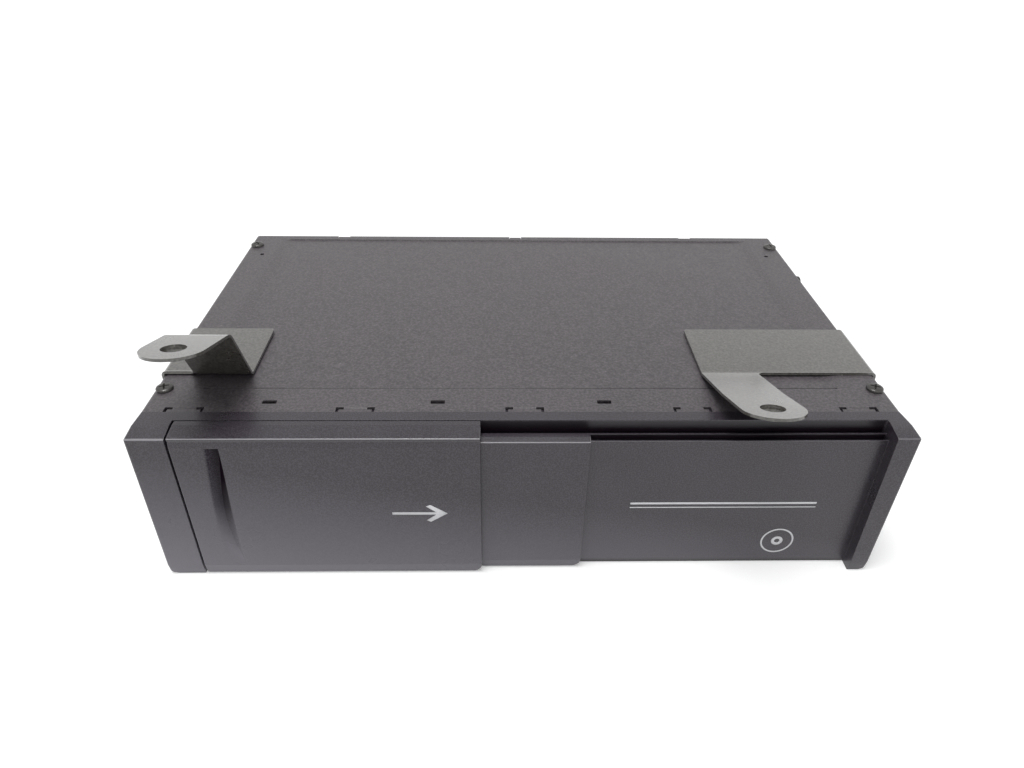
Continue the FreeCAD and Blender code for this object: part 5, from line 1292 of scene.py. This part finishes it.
@dataclass
class Studio:
    """Pale floor, soft light and the camera.

    Attributes:
        place: Where the camera stands.
        pitch, yaw, roll: Its turn below the level, to the left and about its own axis, in degrees.
        lens: Focal length on a sensor of 36 mm.
        soft: Strength of the light from all round.
        glow: The floor's glow, near and far, and the distances in metres between which it grows.
        lamps: Name, place in metres, size in metres and watts of each lamp.
    """

    place: Triple = (-10.37, -273.73, 216.67)
    pitch: float = 34.265
    yaw: float = -1.607
    roll: float = 0.938
    lens: float = 26.05
    soft: float = 0.46
    glow: Quad = (0.24, 0.85, 0.35, 1.6)
    lamps: tuple[tuple[str, Triple, float, float], ...] = (
        ("key", (-0.20, -0.25, 1.5), 0.6, 15.0), ("fill", (0.9, -1.3, 0.9), 1.4, 3.5))

    def camera(self) -> None:
        """Stand the camera: forward from pitch and yaw, then right and up turned by the roll."""
        pitch, yaw, roll = (math.radians(a) for a in (self.pitch, self.yaw, self.roll))
        ahead = Vector((-math.sin(yaw) * math.cos(pitch), math.cos(yaw) * math.cos(pitch), -math.sin(pitch)))
        level = Vector((math.cos(yaw), math.sin(yaw), 0.0))
        above = level.cross(ahead)
        right = level * math.cos(roll) + above * math.sin(roll)
        up = above * math.cos(roll) - level * math.sin(roll)
        lens = bpy.data.cameras.new("camera")
        lens.lens, lens.sensor_width, lens.sensor_fit = self.lens, 36.0, "HORIZONTAL"
        lens.clip_start, lens.clip_end = 0.01, 50.0
        stand = bpy.data.objects.new("camera", lens)
        turn = Matrix((right, up, -ahead)).transposed().to_4x4()
        stand.matrix_world = Matrix.Translation(Vector(self.place) * MM) @ turn
        bpy.context.scene.collection.objects.link(stand)
        bpy.context.scene.camera = stand

    def lamp(self, name: str, place: Triple, size: float, power: float) -> None:
        """Hang a square soft lamp of a size in metres and a power in watts, facing the changer."""
        light = bpy.data.lights.new(name, "AREA")
        light.shape, light.size, light.energy = "SQUARE", size, power
        lamp = bpy.data.objects.new(name, light)
        lamp.location = Vector(place)
        lamp.rotation_mode = "QUATERNION"
        lamp.rotation_quaternion = (Vector((0, 0, 0.03)) - Vector(place)).to_track_quat("-Z", "Y")
        bpy.context.scene.collection.objects.link(lamp)

    def world(self) -> None:
        """Light all round softly, and show plain white to the camera and to reflections."""
        world = bpy.data.worlds.new("studio")
        bpy.context.scene.world = world
        world.use_nodes = True
        tree = world.node_tree
        tree.nodes.clear()
        out = tree.nodes.new("ShaderNodeOutputWorld")
        soft, plain = tree.nodes.new("ShaderNodeBackground"), tree.nodes.new("ShaderNodeBackground")
        soft.inputs[0].default_value, soft.inputs[1].default_value = (0.98, 0.99, 1.0, 1.0), self.soft
        plain.inputs[0].default_value, plain.inputs[1].default_value = (1.0, 1.0, 1.0, 1.0), 1.0
        rays, mix = tree.nodes.new("ShaderNodeLightPath"), tree.nodes.new("ShaderNodeMixShader")
        tree.links.new(seen(tree, rays), mix.inputs[0])
        tree.links.new(soft.outputs[0], mix.inputs[1])
        tree.links.new(plain.outputs[0], mix.inputs[2])
        tree.links.new(mix.outputs[0], out.inputs[0])

    def floor(self) -> None:
        """Lay a wide pale floor just under the case that glows a little to the camera only."""
        points = np.array([(-4000, -4000, -0.02), (4000, -4000, -0.02), (4000, 4000, -0.02),
                           (-4000, 4000, -0.02)])
        floor = write_mesh("studio_floor", points, [[0, 1, 2, 3]], closed=False)
        graph = Graph("studio_floor")
        graph.shader.inputs["Base Color"].default_value = (0.92, 0.92, 0.92, 1.0)
        graph.shader.inputs["Roughness"].default_value = 0.6
        glow, both = graph.add("Emission"), graph.add("AddShader")
        rays = graph.add("LightPath")
        away = graph.add("VectorMath", operation="LENGTH")
        graph.links.new(graph.place, away.inputs[0])
        weak, strong, near, far = self.glow
        level = graph.span(away.outputs["Value"], near, far, weak, strong)
        graph.links.new(graph.times(seen(graph.material.node_tree, rays), level), glow.inputs["Strength"])
        graph.links.new(graph.shader.outputs[0], both.inputs[0])
        graph.links.new(glow.outputs[0], both.inputs[1])
        graph.links.new(both.outputs[0], graph.output.inputs[0])
        floor.data.materials.append(graph.material)

    def build(self) -> None:
        """Set the whole studio up."""
        self.camera()
        self.world()
        self.floor()
        for name, place, size, power in self.lamps:
            self.lamp(name, place, size, power)
        bpy.context.scene.view_settings.view_transform = "Standard"


# ------------------------------------------------------------------ assembly
def build_doors() -> None:
    """Build the outer door with its grip and the middle door behind it."""
    outer = [(-81.7, 0.4, 0.3), (DOOR_FACE, 5.0, 0.3), (DOOR_FACE, 60.8, 0.3), (-82.15, 62.9, 0.3),
             (-82.55, 64.3, 1.1), (-76.0, 65.3, 1.0), (-73.6, 65.3, 0.3), (-73.6, 58.6, 0.3),
             (-74.6, 58.6, 0.3), (-74.6, 62.4, 0.3), (-80.7, 62.4, 0.4), (-80.7, 5.0, 0.3), (-79.9, 0.4, 0.3)]
    SlidingDoor("door_outer", "outer_door", -117.8, -15.2, outer, Grip()).build()
    low, high = (np.array(corner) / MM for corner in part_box("middle_door"))
    hook = float(high[1])
    middle = [(-79.4, 0.4, 0.25), (-80.2, 4.4, 0.25), (-80.2, 61.0, 0.5), (-77.9, 61.6, 0.5),
              (hook, 61.6, 0.3), (hook, 58.6, 0.25), (hook - 1.0, 58.6, 0.25), (hook - 1.0, 60.2, 0.25),
              (-78.6, 60.2, 0.3), (-78.6, 4.4, 0.25), (-77.8, 0.4, 0.25)]
    SlidingDoor("door_middle", "middle_door", float(low[0]), float(high[0]), middle).build()


def build_screws() -> None:
    """Build the cover screws, the bracket bolts and the side screw, each cross at its own turn."""
    near, far = SCREW_Y
    cover = [(side * SCREW_X, y, 65.0, turn)
             for side, y, turn in ((-1, near, 20), (1, near, 65), (-1, far, 40), (1, far, 5))]
    near, far = BOLT_Y
    bolts = [(side * BRACKET_FLANK, y, BOLT_Z, turn)
             for side, y, turn in ((-1, near, 10), (-1, far, 70), (1, near, 33), (1, far, 50))]
    single = [(FLANK, SIDE_SCREW_Y, SIDE_SCREW_Z, 25)]
    PanHeads("cover_screw_heads", "cover_screws", cover, 3.0, 1.5).build()
    PanHeads("bracket_bolt_heads", "bracket_bolts", bolts, 3.9, 2.4, "X").build()
    PanHeads("side_screw_head", "side_screw", single, 3.0, 1.5, "X").build()


def corners(box: tuple[Vector, Vector]) -> list[list[float]]:
    """Return a box's two corners as plain numbers."""
    return [[float(c) for c in corner] for corner in box]


def main() -> None:
    """Build every piece in order."""
    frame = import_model()
    Studio().build()
    TopCover().build()
    Chassis().build()
    Bracket(1, 66.5, 18.0, 18.0, 3.5, 41.6).build()
    Bracket(-1, 99.0, 63.3, 13.0, 8.0, 9.1).build()
    build_doors()
    build_screws()
    Works().build(frame["nodes"])
    PrintedMarks().build()


if __name__ == "__main__":
    logging.basicConfig(level=logging.INFO, format="%(name)s: %(message)s")
    main()
